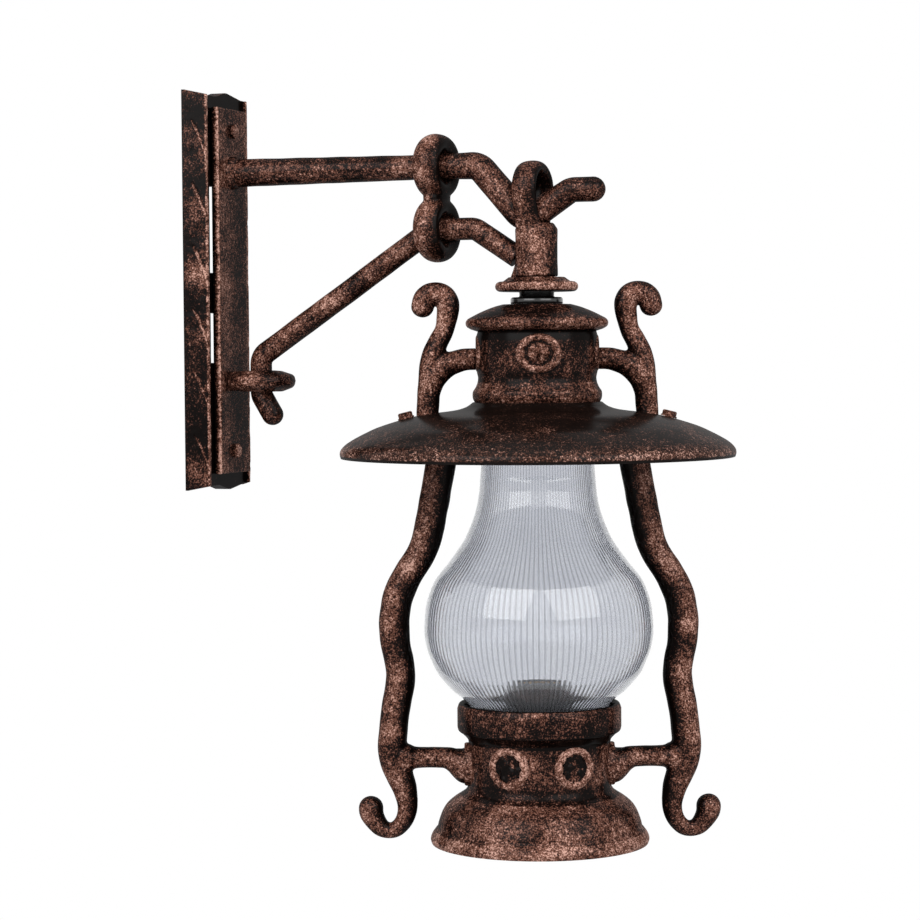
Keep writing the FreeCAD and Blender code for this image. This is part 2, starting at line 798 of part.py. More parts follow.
def upper_rod():
    weld = out_facing(Part.makeCone(rod_weld_radius, rod_root_radius, rod_weld_length),
                      bar_front, 0, rod_height)
    body = united([rod_outer(), weld])
    straight = out_facing(Part.makeCylinder(rod_bore, rod_taper_length + 2 * overrun),
                          bar_front - overrun, 0, rod_height)
    corners = rod_corners()
    rise = (rod_tip_height - rod_low_height) / (rod_tip_reach - rod_low_reach)
    drop_level = rod_low_height + rise * (stem_reach - rod_low_reach)
    inner = rounded_path(corners[:3] + [(stem_reach, drop_level)], [rod_knee_round, rod_low_round])
    lead_way = united([straight, swept(inner, rod_bore)])
    well = Part.makeCylinder(rod_bore, 2 * rod_radius, V(stem_reach, 0, drop_level - 2 * rod_radius))
    ball = Part.makeSphere(rod_bore, V(stem_reach, 0, drop_level))
    return body.cut([lead_way, well, ball])


def brace_path():
    points = [(brace_foot_reach + brace_tail_out, brace_bend_height - brace_tail_drop),
              (brace_foot_reach, brace_bend_height), (brace_foot_reach, brace_foot_height),
              (brace_top_start, brace_top_height), (brace_top_end, brace_top_height),
              (stem_reach, brace_land_height)]
    return rounded_path(points, [brace_round, brace_round, brace_round, brace_round])


def brace_rod():
    tail = V(brace_foot_reach + brace_tail_out, 0, brace_bend_height - brace_tail_drop)
    away = V(brace_tail_out, 0, -brace_tail_drop).normalize()
    body = united([swept(brace_path(), brace_radius), dome_end(tail, away, brace_radius)])
    stem = Part.makeCylinder(stem_radius + weld_gap, 2 * stem_top, V(stem_reach, 0, -stem_top))
    return body.cut([stem, gusset()])


def brace_eye():
    hub, rim = eye_lug_hub / 2, eye_lug_rim / 2
    shoulder = eye_lug_radius * eye_lug_hub_share
    half = [(0, hub), (shoulder, hub), (eye_lug_radius - eye_lug_edge, rim + eye_lug_edge / 2),
            (eye_lug_radius, rim)]
    eye = revolved([("straight", half + [(x, -z) for x, z in reversed(half)])])
    eye = moved(eye, brace_foot_reach, 0, eye_lug_height)
    neck = Part.makeBox(brace_foot_reach - bar_front, eye_neck_width, eye_neck_height,
                        V(bar_front, -eye_neck_width / 2, eye_lug_height - eye_neck_height / 2))
    body = united([eye, neck])
    behind = Part.makeBox(eye_lug_radius, 2 * eye_lug_radius, 2 * eye_lug_radius,
                          V(bar_front - eye_lug_radius, -eye_lug_radius, eye_lug_height - eye_lug_radius))
    body = body.cut(behind)
    hole = Part.makeCylinder(brace_radius + weld_gap, 2 * eye_lug_radius,
                             V(brace_foot_reach, 0, eye_lug_height - eye_lug_radius))
    return body.cut(hole)


def oval(across, along):
    """Oval wire about the origin in the XY plane, of given half sizes along X and Y."""
    if across >= along:
        return Part.Wire(Part.Ellipse(V(), across, along).toShape())
    return Part.Wire(Part.Ellipse(V(0, along, 0), V(across, 0, 0), V()).toShape())


def link_ring(height, keep_above):
    """Ring round a rod, thickened at its weld and cut flat where it meets the other ring."""
    middle = (rod_height + brace_top_height) / 2
    section = Part.Face(oval(ring_depth, ring_wire))
    section.translate(V(0, ring_radius, 0))
    ring = moved(section.revolve(V(), OUT, 360), 0, 0, height)
    weld = Part.makeCylinder(ring_weld_radius, ring_weld_length, V(0, -ring_weld_length / 2, middle), ALONG)
    ends = [dome_end(V(0, side * ring_weld_length / 2, middle), ALONG * side, ring_weld_radius)
            for side in (-1, 1)]
    size = 4 * ring_radius
    start = middle if keep_above else middle - size
    half = Part.makeBox(size, size, size, V(-size / 2, -size / 2, start))
    straight = out_facing(Part.makeCylinder(rod_radius + slip_gap, size), -size / 2, 0, height)
    body = united([ring, weld] + ends).common(half).cut(straight)
    return moved(turned(body, ring_angle), ring_reach, 0, 0)


def lower_ring():
    brace_way = swept(brace_path(), brace_radius + slip_gap)
    return link_ring(brace_top_height, False).cut(brace_way)


def hanger_stem():
    away = stem_taper_angle
    centre = stem_eye_top - stem_eye_wire - stem_eye_radius
    side = stem_eye_radius * math.cos(math.radians(away))
    low = centre - stem_eye_radius * math.sin(math.radians(away))
    foot = side - stem_eye_leg * math.sin(math.radians(away))
    foot_level = low - stem_eye_leg * math.cos(math.radians(away))
    start, left = V(-foot, 0, foot_level), V(-side, 0, low)
    right, end = V(side, 0, low), V(foot, 0, foot_level)
    top = V(0, 0, centre + stem_eye_radius)
    path = Part.Wire([Part.makeLine(start, left), Part.Arc(left, top, right).toShape(),
                      Part.makeLine(right, end)])
    section = oval(stem_eye_depth, stem_eye_wire)
    section.rotate(V(), UP, 90)
    section.rotate(V(), ALONG, math.degrees(math.atan2(left.x - start.x, left.z - start.z)))
    section.translate(start)
    eye = path.makePipeShell([section], True, True)
    eye = moved(turned(eye, 90 + stem_eye_angle), stem_reach + stem_eye_shift, 0, 0)
    post = Part.makeCylinder(stem_radius, stem_top - flange_top, V(stem_reach, 0, flange_top))
    rib = gusset()
    body = united([post, eye, rib])
    drop = stem_top - flange_bottom
    bores = [Part.makeCylinder(tube_radius + slip_gap, tube_engage + flange_bottom - flange_top + overrun,
                               V(stem_reach, 0, flange_top - overrun)),
             Part.makeCylinder(tube_bore, drop + overrun, V(stem_reach, 0, flange_bottom))]
    return body.cut(bores + [rod_outer(weld_gap)])


def gusset():
    """Rib in the corner between stem and flange on the wall side."""
    inner = stem_reach - stem_radius / 2
    outer = stem_reach - stem_radius - gusset_reach
    points = [(inner, flange_top), (outer, flange_top),
              (stem_reach - stem_radius, flange_top + gusset_height), (inner, flange_top + gusset_height)]
    return moved(flat(points).extrude(ALONG * gusset_thick), 0, -gusset_thick / 2, 0)


def hanger_flange():
    hole = tube_radius + slip_gap
    shoulder = flange_radius - flange_edge / 2
    body = revolved([("straight", [(hole, flange_bottom), (shoulder, flange_bottom)]),
                     ("smooth", [(shoulder, flange_bottom), (flange_radius, flange_bottom + flange_edge / 2),
                                 (shoulder, flange_bottom + flange_edge)]),
                     ("straight", [(shoulder, flange_bottom + flange_edge),
                                   (flange_crown_radius, flange_top), (hole, flange_top)])])
    return moved(body, stem_reach, 0, 0)


def swivel_tube():
    top = flange_bottom + tube_engage
    bottom = roof_under - swivel_gap - thrust_thick - 2 * tube_nut_height - tube_tail
    return moved(tube_ring(bottom, top, tube_radius, tube_bore), stem_reach, 0, 0)


def swivel_bush():
    hole = tube_radius + slip_gap
    neck = tube_ring(flange_bottom - bush_neck_height, flange_bottom, bush_neck_radius, hole)
    flange = tube_ring(bush_bottom, flange_bottom - bush_neck_height, bush_flange_radius, hole)
    return moved(united([neck, flange]), stem_reach, 0, 0)


def thrust_washer():
    top = roof_under - swivel_gap
    return moved(tube_ring(top - thrust_thick, top, thrust_radius, tube_radius + slip_gap), stem_reach, 0, 0)


def tube_nut(order):
    top = roof_under - swivel_gap - thrust_thick - order * tube_nut_height
    nut = turned(hex_nut(tube_nut_flats, tube_nut_height, tube_radius + slip_gap), order * tube_nut_angle)
    return moved(nut, stem_reach, 0, top - tube_nut_height)


# Lantern body, about its own upright axis
def medallion(radius, wire, place, height, flatten=1.0):
    """Ring that stands on an upright round wall, facing along X, with its middle at a place."""
    ring = Part.makeTorus(radius, wire, V(), OUT)
    matrix = FreeCAD.Matrix()
    matrix.scale(1, 1, flatten)
    ring = ring.transformGeometry(matrix)
    return moved(ring, place, 0, height)


def top_pot():
    dome = swelled(pot_dome_shares, pot_drum_radius, pot_brim, pot_top, pot_height)
    drum = swelled(pot_drum_shares, pot_drum_radius, pot_brim, pot_top, pot_height)
    bead = swelled(pot_bead_shares, pot_drum_radius, pot_brim, pot_top, pot_height)
    shoulder = pot_bore * pot_shoulder_share
    skirt = pot_top - pot_height * pot_dome_shares[-1][1]
    body = revolved([("straight", [(0, pot_top), dome[0]]), ("smooth", dome), ("smooth", drum),
                     ("smooth", bead),
                     ("straight", [bead[-1], (shade_bore, pot_bottom),
                                   (shade_bore, pot_bottom + pot_foot_height),
                                   (pot_bore, pot_bottom + pot_foot_height + pot_foot_lip),
                                   (pot_bore, skirt), (shoulder, roof_under), (0, roof_under)])])
    front = medallion(badge_radius, badge_wire, pot_drum_radius - badge_sink, badge_height,
                      badge_flatten_share)
    side = medallion(badge_radius, badge_wire, pot_drum_radius - side_badge_sink, badge_height,
                     badge_flatten_share)
    boss = out_facing(Part.makeCylinder(badge_boss_radius, badge_boss_height + pot_drum_radius - pot_bore),
                      pot_bore, 0, badge_height)
    seat = out_facing(Part.makeCylinder(pot_boss_radius, pot_boss_face - pot_bore), pot_bore, 0, spoke_height)
    parts = [body]
    for angle in (90, 270):
        parts += [turned(front, angle), turned(boss, angle)]
    for angle in (0, 180):
        parts += [turned(side, angle), turned(seat, angle)]
    body = united(parts)
    inside = Part.makeCylinder(pot_bore, skirt - pot_bottom - 2 * pot_foot_height,
                               V(0, 0, pot_bottom + 2 * pot_foot_height))
    holes = [inside, Part.makeCylinder(tube_radius + slip_gap, pot_roof + 2 * overrun,
                                       V(0, 0, roof_under - overrun))]
    for angle in (0, 180):
        way = out_facing(Part.makeCylinder(spoke_tube_radius + screw_gap, pot_boss_face), 0, 0, spoke_height)
        holes.append(turned(way, angle))
    thread = Part.makeCylinder(foot_screw_radius + slip_gap, foot_screw_grip + overrun,
                               V(foot_screw_circle, 0, pot_bottom - overrun))
    return body.cut(holes + around(thread, foot_screw_count, foot_screw_angle))


def shade():
    under = shade_underside()
    lip = shade_radius - shade_lip
    edge = shade_outer[-1]
    neck_under = (under[0][0], gallery_top)
    body = revolved([("straight", [(shade_bore, shade_top), shade_outer[0]]), ("smooth", shade_outer),
                     ("straight", [edge, (lip, shade_bottom), (lip, under[-1][1])]),
                     ("smooth", [(lip, under[-1][1])] + list(reversed(under[1:-1])) + [neck_under]),
                     ("straight", [neck_under, (shade_bore, gallery_top)])])
    screw_hole = Part.makeCylinder(foot_screw_radius + screw_gap, shade_depth,
                                   V(foot_screw_circle, 0, shade_bottom))
    cuts = around(screw_hole, foot_screw_count, foot_screw_angle)
    foot_hole = Part.makeCylinder(bolt_radius + screw_gap, 2 * shade_depth,
                                  V(arm_foot_reach, 0, shade_bottom - shade_depth))
    bolt_hole = on_shade(Part.makeCylinder(bolt_radius + screw_gap, shade_depth, V(0, 0, -shade_depth / 2)),
                         shade_bolt_circle)
    return body.cut(cuts + around(foot_hole, 2) + around(bolt_hole, 2))


def shade_upper_cutter():
    """Everything under the shade's upper face."""
    foot = shade_bottom - shade_depth
    return revolved([("straight", [(0, foot), (0, shade_top), shade_outer[0]]), ("smooth", shade_outer),
                     ("straight", [shade_outer[-1], (shade_outer[-1][0], foot)])])


def shade_under_cutter():
    """Everything over the shade's lower face, out to its lip."""
    under = shade_underside()
    neck_under = (under[0][0], gallery_top)
    lip = shade_radius - shade_lip
    return revolved([("straight", [(0, gallery_top), neck_under]),
                     ("smooth", [neck_under] + under[1:-1] + [(lip, under[-1][1])]),
                     ("straight", [(lip, under[-1][1]), (lip, pot_top), (0, pot_top)])])


def upper_arm():
    base = shade_level(arm_foot_reach)
    pivot = (scroll_pivot_reach, base + scroll_pivot_height)
    stations = []
    for step in range(scroll_steps + 1):
        angle = math.radians(180.0 * step / scroll_steps)
        stations.append((pivot[0] + scroll_path_radius * math.cos(angle),
                         pivot[1] + scroll_path_radius * math.sin(angle), scroll_wire))
    column = [(arm_foot_reach * reach, base + upper_arm_rise * rise, arm_radius * girth)
              for reach, rise, girth in upper_arm_shares]
    scroll = swelling_tube(stations + column, scroll_line_steps, round_start=True)
    span = between(column, spoke_height - upper_spoke_fall) - pot_boss_face
    spoke = swelling_tube([(pot_boss_face + span * way, spoke_height - upper_spoke_fall * fall,
                            upper_spoke_radius * girth) for way, fall, girth in upper_spoke_shares],
                          spoke_steps)
    keep = Part.makeBox(2 * arm_foot_reach, 2 * arm_foot_reach, 3 * upper_arm_rise,
                        V(pot_boss_face, -arm_foot_reach, base - upper_arm_rise))
    body = united([scroll, spoke]).common(keep)
    grip = out_facing(Part.makeCylinder(spoke_tube_radius + slip_gap, spoke_tube_grip + overrun),
                      pot_boss_face - overrun, 0, spoke_height)
    thread = Part.makeCylinder(bolt_radius + slip_gap, 2 * arm_screw_depth,
                               V(arm_foot_reach, 0, base - arm_screw_depth))
    return body.cut([shade_upper_cutter(), grip, thread])


def lower_arm_column():
    top = shade_level(lower_arm_reach * lower_arm_shares[0][0]) - shade_thick
    return [(lower_arm_reach * reach, top - lower_arm_drop * drop, arm_radius * girth)
            for reach, drop, girth in lower_arm_shares]


def lower_arm():
    column = lower_arm_column()
    arm = swelling_tube(column, arm_steps, round_end=True)
    pad = Part.makeBox(pad_outer - pad_inner, pad_width, shade_top - pad_bottom,
                       V(pad_inner, -pad_width / 2, pad_bottom))
    level = lower_spoke_height
    waist = [row for row in column if row[0] > base_boss_face]
    reach = between(waist, level)
    face = base_boss_face
    stations = [(face + lower_spoke_flare_length * way, level + (base_boss_height - level) * fall,
                 lower_spoke_flare * girth) for way, fall, girth in flare_shares]
    stations += [(reach - arm_radius * way, level, lower_spoke_radius * girth)
                 for way, girth in spoke_fillet_shares]
    spoke = swelling_tube(stations, spoke_steps)
    base_side = Part.makeBox(face, 2 * pad_width, base_height, V(0, -pad_width, level - base_height / 2))
    body = united([arm, pad, spoke.cut(base_side)])
    grip = out_facing(Part.makeCylinder(spoke_tube_radius + slip_gap, spoke_tube_grip + overrun),
                      face - overrun, 0, level)
    lead_path = [row[:2] + (lead_bore,) for row in column if row[1] > level]
    entry = (pad_inner - overrun, pad_bottom + pad_width / 3, lead_bore)
    bend = (column[0][0] - arm_radius / 3, pad_bottom + pad_width / 4, lead_bore)
    lead_way = swelling_tube([entry, bend] + lead_path[1:] + [(reach, level, lead_bore)])
    spoke_way = out_facing(Part.makeCylinder(lead_bore, reach - face), face, 0, level)
    foot_way = Part.makeCylinder(bolt_radius + screw_gap, shade_depth, V(arm_foot_reach, 0, pad_bottom))
    head_way = Part.makeCylinder(washer_radius, bolt_head + overrun,
                                 V(arm_foot_reach, 0, pad_bottom - bolt_head - overrun))
    thread = on_shade(Part.makeCylinder(bolt_radius + slip_gap, 2 * shade_bolt_length,
                                        V(0, 0, -shade_bolt_length - overrun)), shade_bolt_circle)
    return body.cut([shade_under_cutter(), grip, lead_way, spoke_way, foot_way, head_way, thread])


def shade_bolts():
    bolt = hex_bolt(bolt_radius, bolt_flats, bolt_head, shade_bolt_length + shade_washer_thick)
    return around(on_shade(moved(bolt, 0, 0, shade_washer_thick), shade_bolt_circle), 2)


def shade_washers():
    washer = tube_ring(slip_gap, shade_washer_thick, shade_washer_radius, bolt_radius + screw_gap)
    return around(on_shade(washer, shade_bolt_circle), 2)


def arm_screws():
    length = shade_level(arm_foot_reach) - pad_bottom + arm_screw_depth - overrun
    screw = turned(hex_bolt(bolt_radius, bolt_flats, bolt_head, length), 180, OUT)
    return around(moved(screw, arm_foot_reach, 0, pad_bottom), 2)


def foot_screws():
    seat = gallery_top - gallery_flange
    length = pot_bottom - seat + foot_screw_grip - overrun / 2
    screw = pan_screw(foot_screw_radius, foot_screw_head_radius, foot_screw_head, length)
    return around(moved(screw, foot_screw_circle, 0, seat), foot_screw_count, foot_screw_angle)


def spoke_tubes(face, bore_wall, level):
    """Hollow tubes from inside a wall into the two spokes."""
    start = bore_wall - spoke_nut_height - spoke_tube_tail
    tube = tube_ring(start, face + spoke_tube_grip, spoke_tube_radius, spoke_tube_bore)
    return around(out_facing(tube, 0, 0, level), 2)


def spoke_nuts(bore_wall, level):
    nut = hex_nut(spoke_nut_flats, spoke_nut_height, spoke_tube_radius + slip_gap)
    half_flat = spoke_nut_flats / math.sqrt(3)
    seat = math.sqrt(bore_wall ** 2 - half_flat ** 2) - spoke_nut_height
    return around(out_facing(nut, seat, 0, level), 2)


def glass_gallery():
    top, flange_under = gallery_top, gallery_top - gallery_flange
    outer, inner = gallery_radius, gallery_radius - gallery_wall
    bottom = top - gallery_height
    body = revolved([("straight", [(shade_bore, top), (inner, top), (outer, top - gallery_bevel),
                                   (outer, bottom), (inner, bottom), (inner, flange_under),
                                   (shade_bore, flange_under)])])
    ways = around(Part.makeCylinder(foot_screw_radius + screw_gap, gallery_height,
                                    V(foot_screw_circle, 0, bottom)), foot_screw_count, foot_screw_angle)
    side = out_facing(Part.makeCylinder(gallery_screw_radius + slip_gap, gallery_radius), 0, 0,
                      gallery_top - gallery_screw_drop)
    return body.cut(ways + around(side, foot_screw_count, gallery_screw_angle))


def gallery_screws():
    inner = gallery_radius - gallery_wall
    seat = gallery_radius + gallery_screw_knob / 2
    knob = Part.makeCylinder(gallery_screw_knob, gallery_screw_knob, V(0, 0, seat))
    shank = Part.makeCylinder(gallery_screw_radius, seat - inner, V(0, 0, inner))
    screw = out_facing(united([knob, shank]), 0, 0, gallery_top - gallery_screw_drop)
    return around(screw, foot_screw_count, gallery_screw_angle)


def gallery_seal():
    middle = gallery_top - gallery_screw_drop
    return tube_ring(middle - gallery_seal_height / 2, middle + gallery_seal_height / 2,
                     gallery_radius - gallery_wall, glass_neck + slip_gap)


def glass_globe():
    inner = inset(glass_outer, glass_thick)
    inner[0] = (glass_outer[0][0] - glass_thick, glass_top)
    inner[-1] = (glass_outer[-1][0] - glass_thick, glass_bottom)
    return revolved([("smooth", glass_outer), ("straight", [glass_outer[-1], inner[-1]]),
                     ("smooth", list(reversed(inner))), ("straight", [inner[0], glass_outer[0]])])


def glass_seat():
    return tube_ring(seat_bottom, glass_bottom, glass_foot + seat_overlap, glass_foot - seat_overlap)


def base_profile():
    """Outline runs of the base's outside, from the collar's mouth to the foot."""
    return [swelled(shares, base_bore, base_swell, base_top, base_height)
            for shares in (base_collar_shares, base_collar_foot_shares, base_bell_shares, base_lip_shares)]


def base_casting():
    collar, foot, bell, lip = base_profile()
    mouth = (collar_bore, collar[0][1])
    inner_bell = [(x, z) for x, z in inset(bell[2:], base_wall)]
    ledge = cover_radius - gasket_width
    body = revolved([("straight", [mouth, collar[0]]), ("smooth", collar), ("smooth", foot), ("smooth", bell),
                     ("smooth", lip),
                     ("straight", [lip[-1], (cover_radius + screw_gap, base_bottom),
                                   (cover_radius + screw_gap, gasket_top), (ledge, gasket_top),
                                   inner_bell[-1]]),
                     ("smooth", list(reversed(inner_bell))),
                     ("straight", [(base_bore, inner_bell[0][1] + base_wall), (base_bore, seat_bottom),
                                   (collar_bore, seat_bottom), mouth])])
    parts = [body]
    ring = medallion(base_badge_radius, base_badge_wire, foot[-1][0] - badge_sink, base_badge_height)
    for side in (90, 270):
        parts += [turned(ring, side - base_badge_angle), turned(ring, side + base_badge_angle)]
    boss = Part.makeCylinder(base_boss_radius, base_boss_face - base_bore)
    rim = [edge for edge in boss.Edges if abs(edge.CenterOfMass.z - (base_boss_face - base_bore)) < slip_gap]
    boss = boss.makeFillet(base_boss_round, rim)
    boss = out_facing(boss, base_bore, 0, base_boss_height)
    parts += around(boss, 2)
    lug = Part.makeBox(lug_width, lug_reach + base_wall / 2, lug_height,
                       V(-lug_width / 2, base_bore - lug_reach, holder_plate_bottom - lug_height))
    parts += around(lug, 2)
    post = Part.makeCylinder(post_radius, post_rise, V(post_circle, 0, cover_top))
    outside = revolved([("straight", [(0, base_top), collar[0]]), ("smooth", collar), ("smooth", foot),
                        ("smooth", bell), ("smooth", lip), ("straight", [lip[-1], (0, base_bottom)])])
    parts += [item.common(outside) for item in around(post, post_count, post_angle)]
    body = united(parts)
    cuts = []
    for angle in (0, 180):
        way = out_facing(Part.makeCylinder(spoke_tube_radius + screw_gap, base_boss_face), 0, 0,
                         lower_spoke_height)
        cuts.append(turned(way, angle))
    cuts += around(Part.makeCylinder(small_screw_radius + slip_gap, 2 * lug_height,
                                     V(0, plate_screw_circle, holder_plate_bottom - 1.5 * lug_height)), 2)
    cuts += around(Part.makeCylinder(cover_screw_radius + slip_gap, cover_screw_grip + overrun,
                                     V(post_circle, 0, cover_top - overrun)), post_count, post_angle)
    return body.cut(cuts)


def base_gasket():
    return tube_ring(cover_top, gasket_top, cover_radius, cover_radius - gasket_width)


def base_cover():
    body = Part.makeCylinder(cover_radius, cover_thick, V(0, 0, cover_bottom))
    way = Part.makeCylinder(cover_screw_radius + screw_gap, cover_thick + 2 * overrun,
                            V(post_circle, 0, cover_bottom - overrun))
    return body.cut(around(way, post_count, post_angle))


def cover_screws():
    screw = pan_screw(cover_screw_radius, cover_screw_head_radius, cover_screw_head,
                      cover_thick + cover_screw_grip - overrun)
    return around(moved(screw, post_circle, 0, cover_bottom), post_count, post_angle)


def holder_plate():
    body = Part.makeCylinder(base_bore - plate_disc_gap, holder_plate_thick, V(0, 0, holder_plate_bottom))
    hole = Part.makeCylinder(small_screw_radius + screw_gap, 4 * holder_plate_thick,
                             V(0, 0, holder_plate_bottom - holder_plate_thick))
    cuts = around(moved(hole, 0, plate_screw_circle, 0), 2)
    cuts += around(moved(hole, holder_screw_spacing / 2, 0, 0), 2)
    return body.cut(cuts)


def holder_plate_screws():
    screw = pan_screw(small_screw_radius, small_screw_head_radius, small_screw_head, small_screw_length)
    screw = turned(screw, 180, OUT)
    return around(moved(screw, 0, plate_screw_circle, holder_plate_top), 2)


def lampholder_body():
    top = holder_plate_top + holder_height
    body = Part.makeCylinder(holder_radius, holder_height, V(0, 0, holder_plate_top))
    rim = [edge for edge in body.Edges if abs(edge.CenterOfMass.z - top) < slip_gap]
    body = body.makeFillet(holder_shell_wall * 2, rim)
    bore = Part.makeCylinder(holder_bore, holder_bore_depth + overrun, V(0, 0, top - holder_bore_depth))
    threads = around(Part.makeCylinder(small_screw_radius + slip_gap, small_screw_length,
                                       V(holder_screw_spacing / 2, 0, holder_plate_top - overrun)), 2)
    return body.cut([bore] + threads)


def lampholder_shell():
    top = holder_plate_top + holder_height - overrun
    return tube_ring(top - holder_shell_height, top, holder_bore, holder_bore - holder_shell_wall)


def lampholder_contact():
    floor = holder_plate_top + holder_height - holder_bore_depth
    return Part.makeCylinder(contact_radius, contact_height, V(0, 0, floor))


def lampholder_screws():
    length = holder_plate_thick + small_screw_length - 2 * overrun
    screw = pan_screw(small_screw_radius, small_screw_head_radius, small_screw_head, length)
    return around(moved(screw, holder_screw_spacing / 2, 0, holder_plate_bottom), 2)


def terminal_block():
    return Part.makeBox(terminal_length, terminal_width, terminal_height,
                        V(-terminal_length / 2, terminal_offset - terminal_width / 2,
                          holder_plate_bottom - terminal_height))


def on_stem(shape):
    """Lantern part brought from its own axis to its place under the stem."""
    return moved(turned(shape, face_angle), stem_reach, 0, 0)


def fixed_nodes():
    return {
        "wall_plate": wall_plate(),
        "front_bar": front_bar(),
        "front_bar_bolts": bar_bolts(),
        "front_bar_spacers": bar_spacers(),
        "front_bar_nuts": bar_nuts(),
        "lead_inlet_grommet": inlet_grommet(),
        "upper_rod": upper_rod(),
        "brace_rod": brace_rod(),
        "brace_eye": brace_eye(),
        "upper_ring": link_ring(rod_height, True),
        "lower_ring": lower_ring(),
        "hanger_stem": hanger_stem(),
        "hanger_flange": hanger_flange(),
        "swivel_tube": swivel_tube(),
        "swivel_bush": swivel_bush(),
        "swivel_thrust_washer": thrust_washer(),
        "swivel_nut": tube_nut(0),
        "swivel_lock_nut": tube_nut(1),
    }


def lantern_nodes():
    right_upper, right_lower = upper_arm(), lower_arm()
    return {
        "top_pot": top_pot(),
        "shade": shade(),
        "upper_arm_right": right_upper,
        "upper_arm_left": mirrored(right_upper),
        "lower_arm_right": right_lower,
        "lower_arm_left": mirrored(right_lower),
        "shade_bolts": group(shade_bolts()),
        "shade_bolt_washers": group(shade_washers()),
        "upper_arm_screws": group(arm_screws()),
        "pot_foot_screws": group(foot_screws()),
        "upper_spoke_tubes": group(spoke_tubes(pot_boss_face, pot_bore, spoke_height)),
        "upper_spoke_nuts": group(spoke_nuts(pot_bore, spoke_height)),
        "lower_spoke_tubes": group(spoke_tubes(base_boss_face, base_bore, lower_spoke_height)),
        "lower_spoke_nuts": group(spoke_nuts(base_bore, lower_spoke_height)),
        "glass_gallery": glass_gallery(),
        "glass_gallery_screws": group(gallery_screws()),
        "glass_neck_seal": gallery_seal(),
        "glass_globe": glass_globe(),
        "glass_seat_ring": glass_seat(),
        "base_casting": base_casting(),
        "base_cover_gasket": base_gasket(),
        "base_cover": base_cover(),
        "base_cover_screws": group(cover_screws()),
        "lampholder_plate": holder_plate(),
        "lampholder_plate_screws": group(holder_plate_screws()),
        "lampholder_body": lampholder_body(),
        "lampholder_screw_shell": lampholder_shell(),
        "lampholder_contact": lampholder_contact(),
        "lampholder_screws": group(lampholder_screws()),
        "terminal_block": terminal_block(),
    }


os.makedirs("parts", exist_ok=True)
nodes = fixed_nodes()
nodes.update({name: on_stem(shape) for name, shape in lantern_nodes().items()})
for name, shape in nodes.items():
    shape.exportStep("parts/" + name + ".step")
    print(name, len(shape.Solids), shape.isValid(), round(shape.Volume))
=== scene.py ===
import math
import bmesh
import bpy
from mathutils import Matrix, Vector, noise


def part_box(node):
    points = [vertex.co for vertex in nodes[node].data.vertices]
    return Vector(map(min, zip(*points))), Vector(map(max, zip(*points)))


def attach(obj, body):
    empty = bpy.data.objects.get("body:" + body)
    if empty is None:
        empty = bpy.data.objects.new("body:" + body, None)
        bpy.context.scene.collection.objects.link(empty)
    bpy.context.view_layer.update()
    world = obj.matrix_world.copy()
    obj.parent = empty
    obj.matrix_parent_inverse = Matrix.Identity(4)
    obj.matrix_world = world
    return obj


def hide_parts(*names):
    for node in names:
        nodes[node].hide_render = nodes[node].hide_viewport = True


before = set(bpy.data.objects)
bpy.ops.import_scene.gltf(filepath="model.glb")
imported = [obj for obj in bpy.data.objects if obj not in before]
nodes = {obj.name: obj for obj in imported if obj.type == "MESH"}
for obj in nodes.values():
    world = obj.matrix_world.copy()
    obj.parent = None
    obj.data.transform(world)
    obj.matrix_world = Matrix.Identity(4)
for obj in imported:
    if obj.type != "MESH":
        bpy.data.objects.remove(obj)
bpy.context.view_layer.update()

scene = bpy.context.scene


# Shader and Geometry Nodes helpers.


def paint(red, green, blue):
    """A colour as the eye reads it, from 0 to 255, for a shader's socket."""
    linear = [(c / 255 / 12.92) if c <= 10 else ((c / 255 + 0.055) / 1.055) ** 2.4 for c in (red, green, blue)]
    return (*linear, 1.0)


def wired(tree, node, inputs):
    """Sets a node's inputs, each from a plain value or a link."""
    for slot, value in inputs.items():
        if isinstance(value, bpy.types.NodeSocket):
            tree.links.new(value, node.inputs[slot])
        else:
            node.inputs[slot].default_value = value
    return node


def added(tree, kind, inputs=None, **settings):
    """A new node with its settings and inputs."""
    node = tree.nodes.new(kind)
    for name, value in settings.items():
        setattr(node, name, value)
    return wired(tree, node, inputs or {})


def blotches(tree, place, scale, detail, rough):
    """A noise in the object's own space."""
    return added(tree, "ShaderNodeTexNoise", {"Vector": place, "Scale": scale, "Detail": detail,
                                              "Roughness": rough}).outputs["Fac"]


def reckon(tree, operation, *values):
    """One step of arithmetic between sockets or plain numbers."""
    return added(tree, "ShaderNodeMath", dict(enumerate(values)), operation=operation).outputs[0]


def eased(tree, value, low, high):
    """0 below low, 1 over high and a smooth step between."""
    return added(tree, "ShaderNodeMapRange", {"Value": value, "From Min": low, "From Max": high},
                 interpolation_type="SMOOTHSTEP").outputs["Result"]


def blended(tree, share, first, second):
    """A colour between two colours or colour sockets."""
    first_colour, second_colour, mixed_colour = 6, 7, 2
    return added(tree, "ShaderNodeMix", {"Factor": share, first_colour: first, second_colour: second},
                 data_type="RGBA").outputs[mixed_colour]


def bumped(tree, height, strength, distance):
    """A normal that follows a height."""
    return added(tree, "ShaderNodeBump", {"Height": height, "Strength": strength,
                                          "Distance": distance}).outputs["Normal"]


def seen_as_white(tree, surface, backdrop):
    """Shows the backdrop to the camera and in metal and glass, and the true surface to everything else."""
    path = added(tree, "ShaderNodeLightPath").outputs
    seen = path["Is Camera Ray"]
    for kind in ("Is Glossy Ray", "Is Transmission Ray"):
        seen = reckon(tree, "MAXIMUM", seen, path[kind])
    return added(tree, "ShaderNodeMixShader", {0: seen, 1: surface.outputs[0], 2: backdrop.outputs[0]})


def new_finish(name):
    """A new material, its tree and the object's own space for its patterns."""
    finish = bpy.data.materials.new(name)
    finish.use_nodes = True
    return finish, finish.node_tree, added(finish.node_tree, "ShaderNodeTexCoord").outputs["Object"]


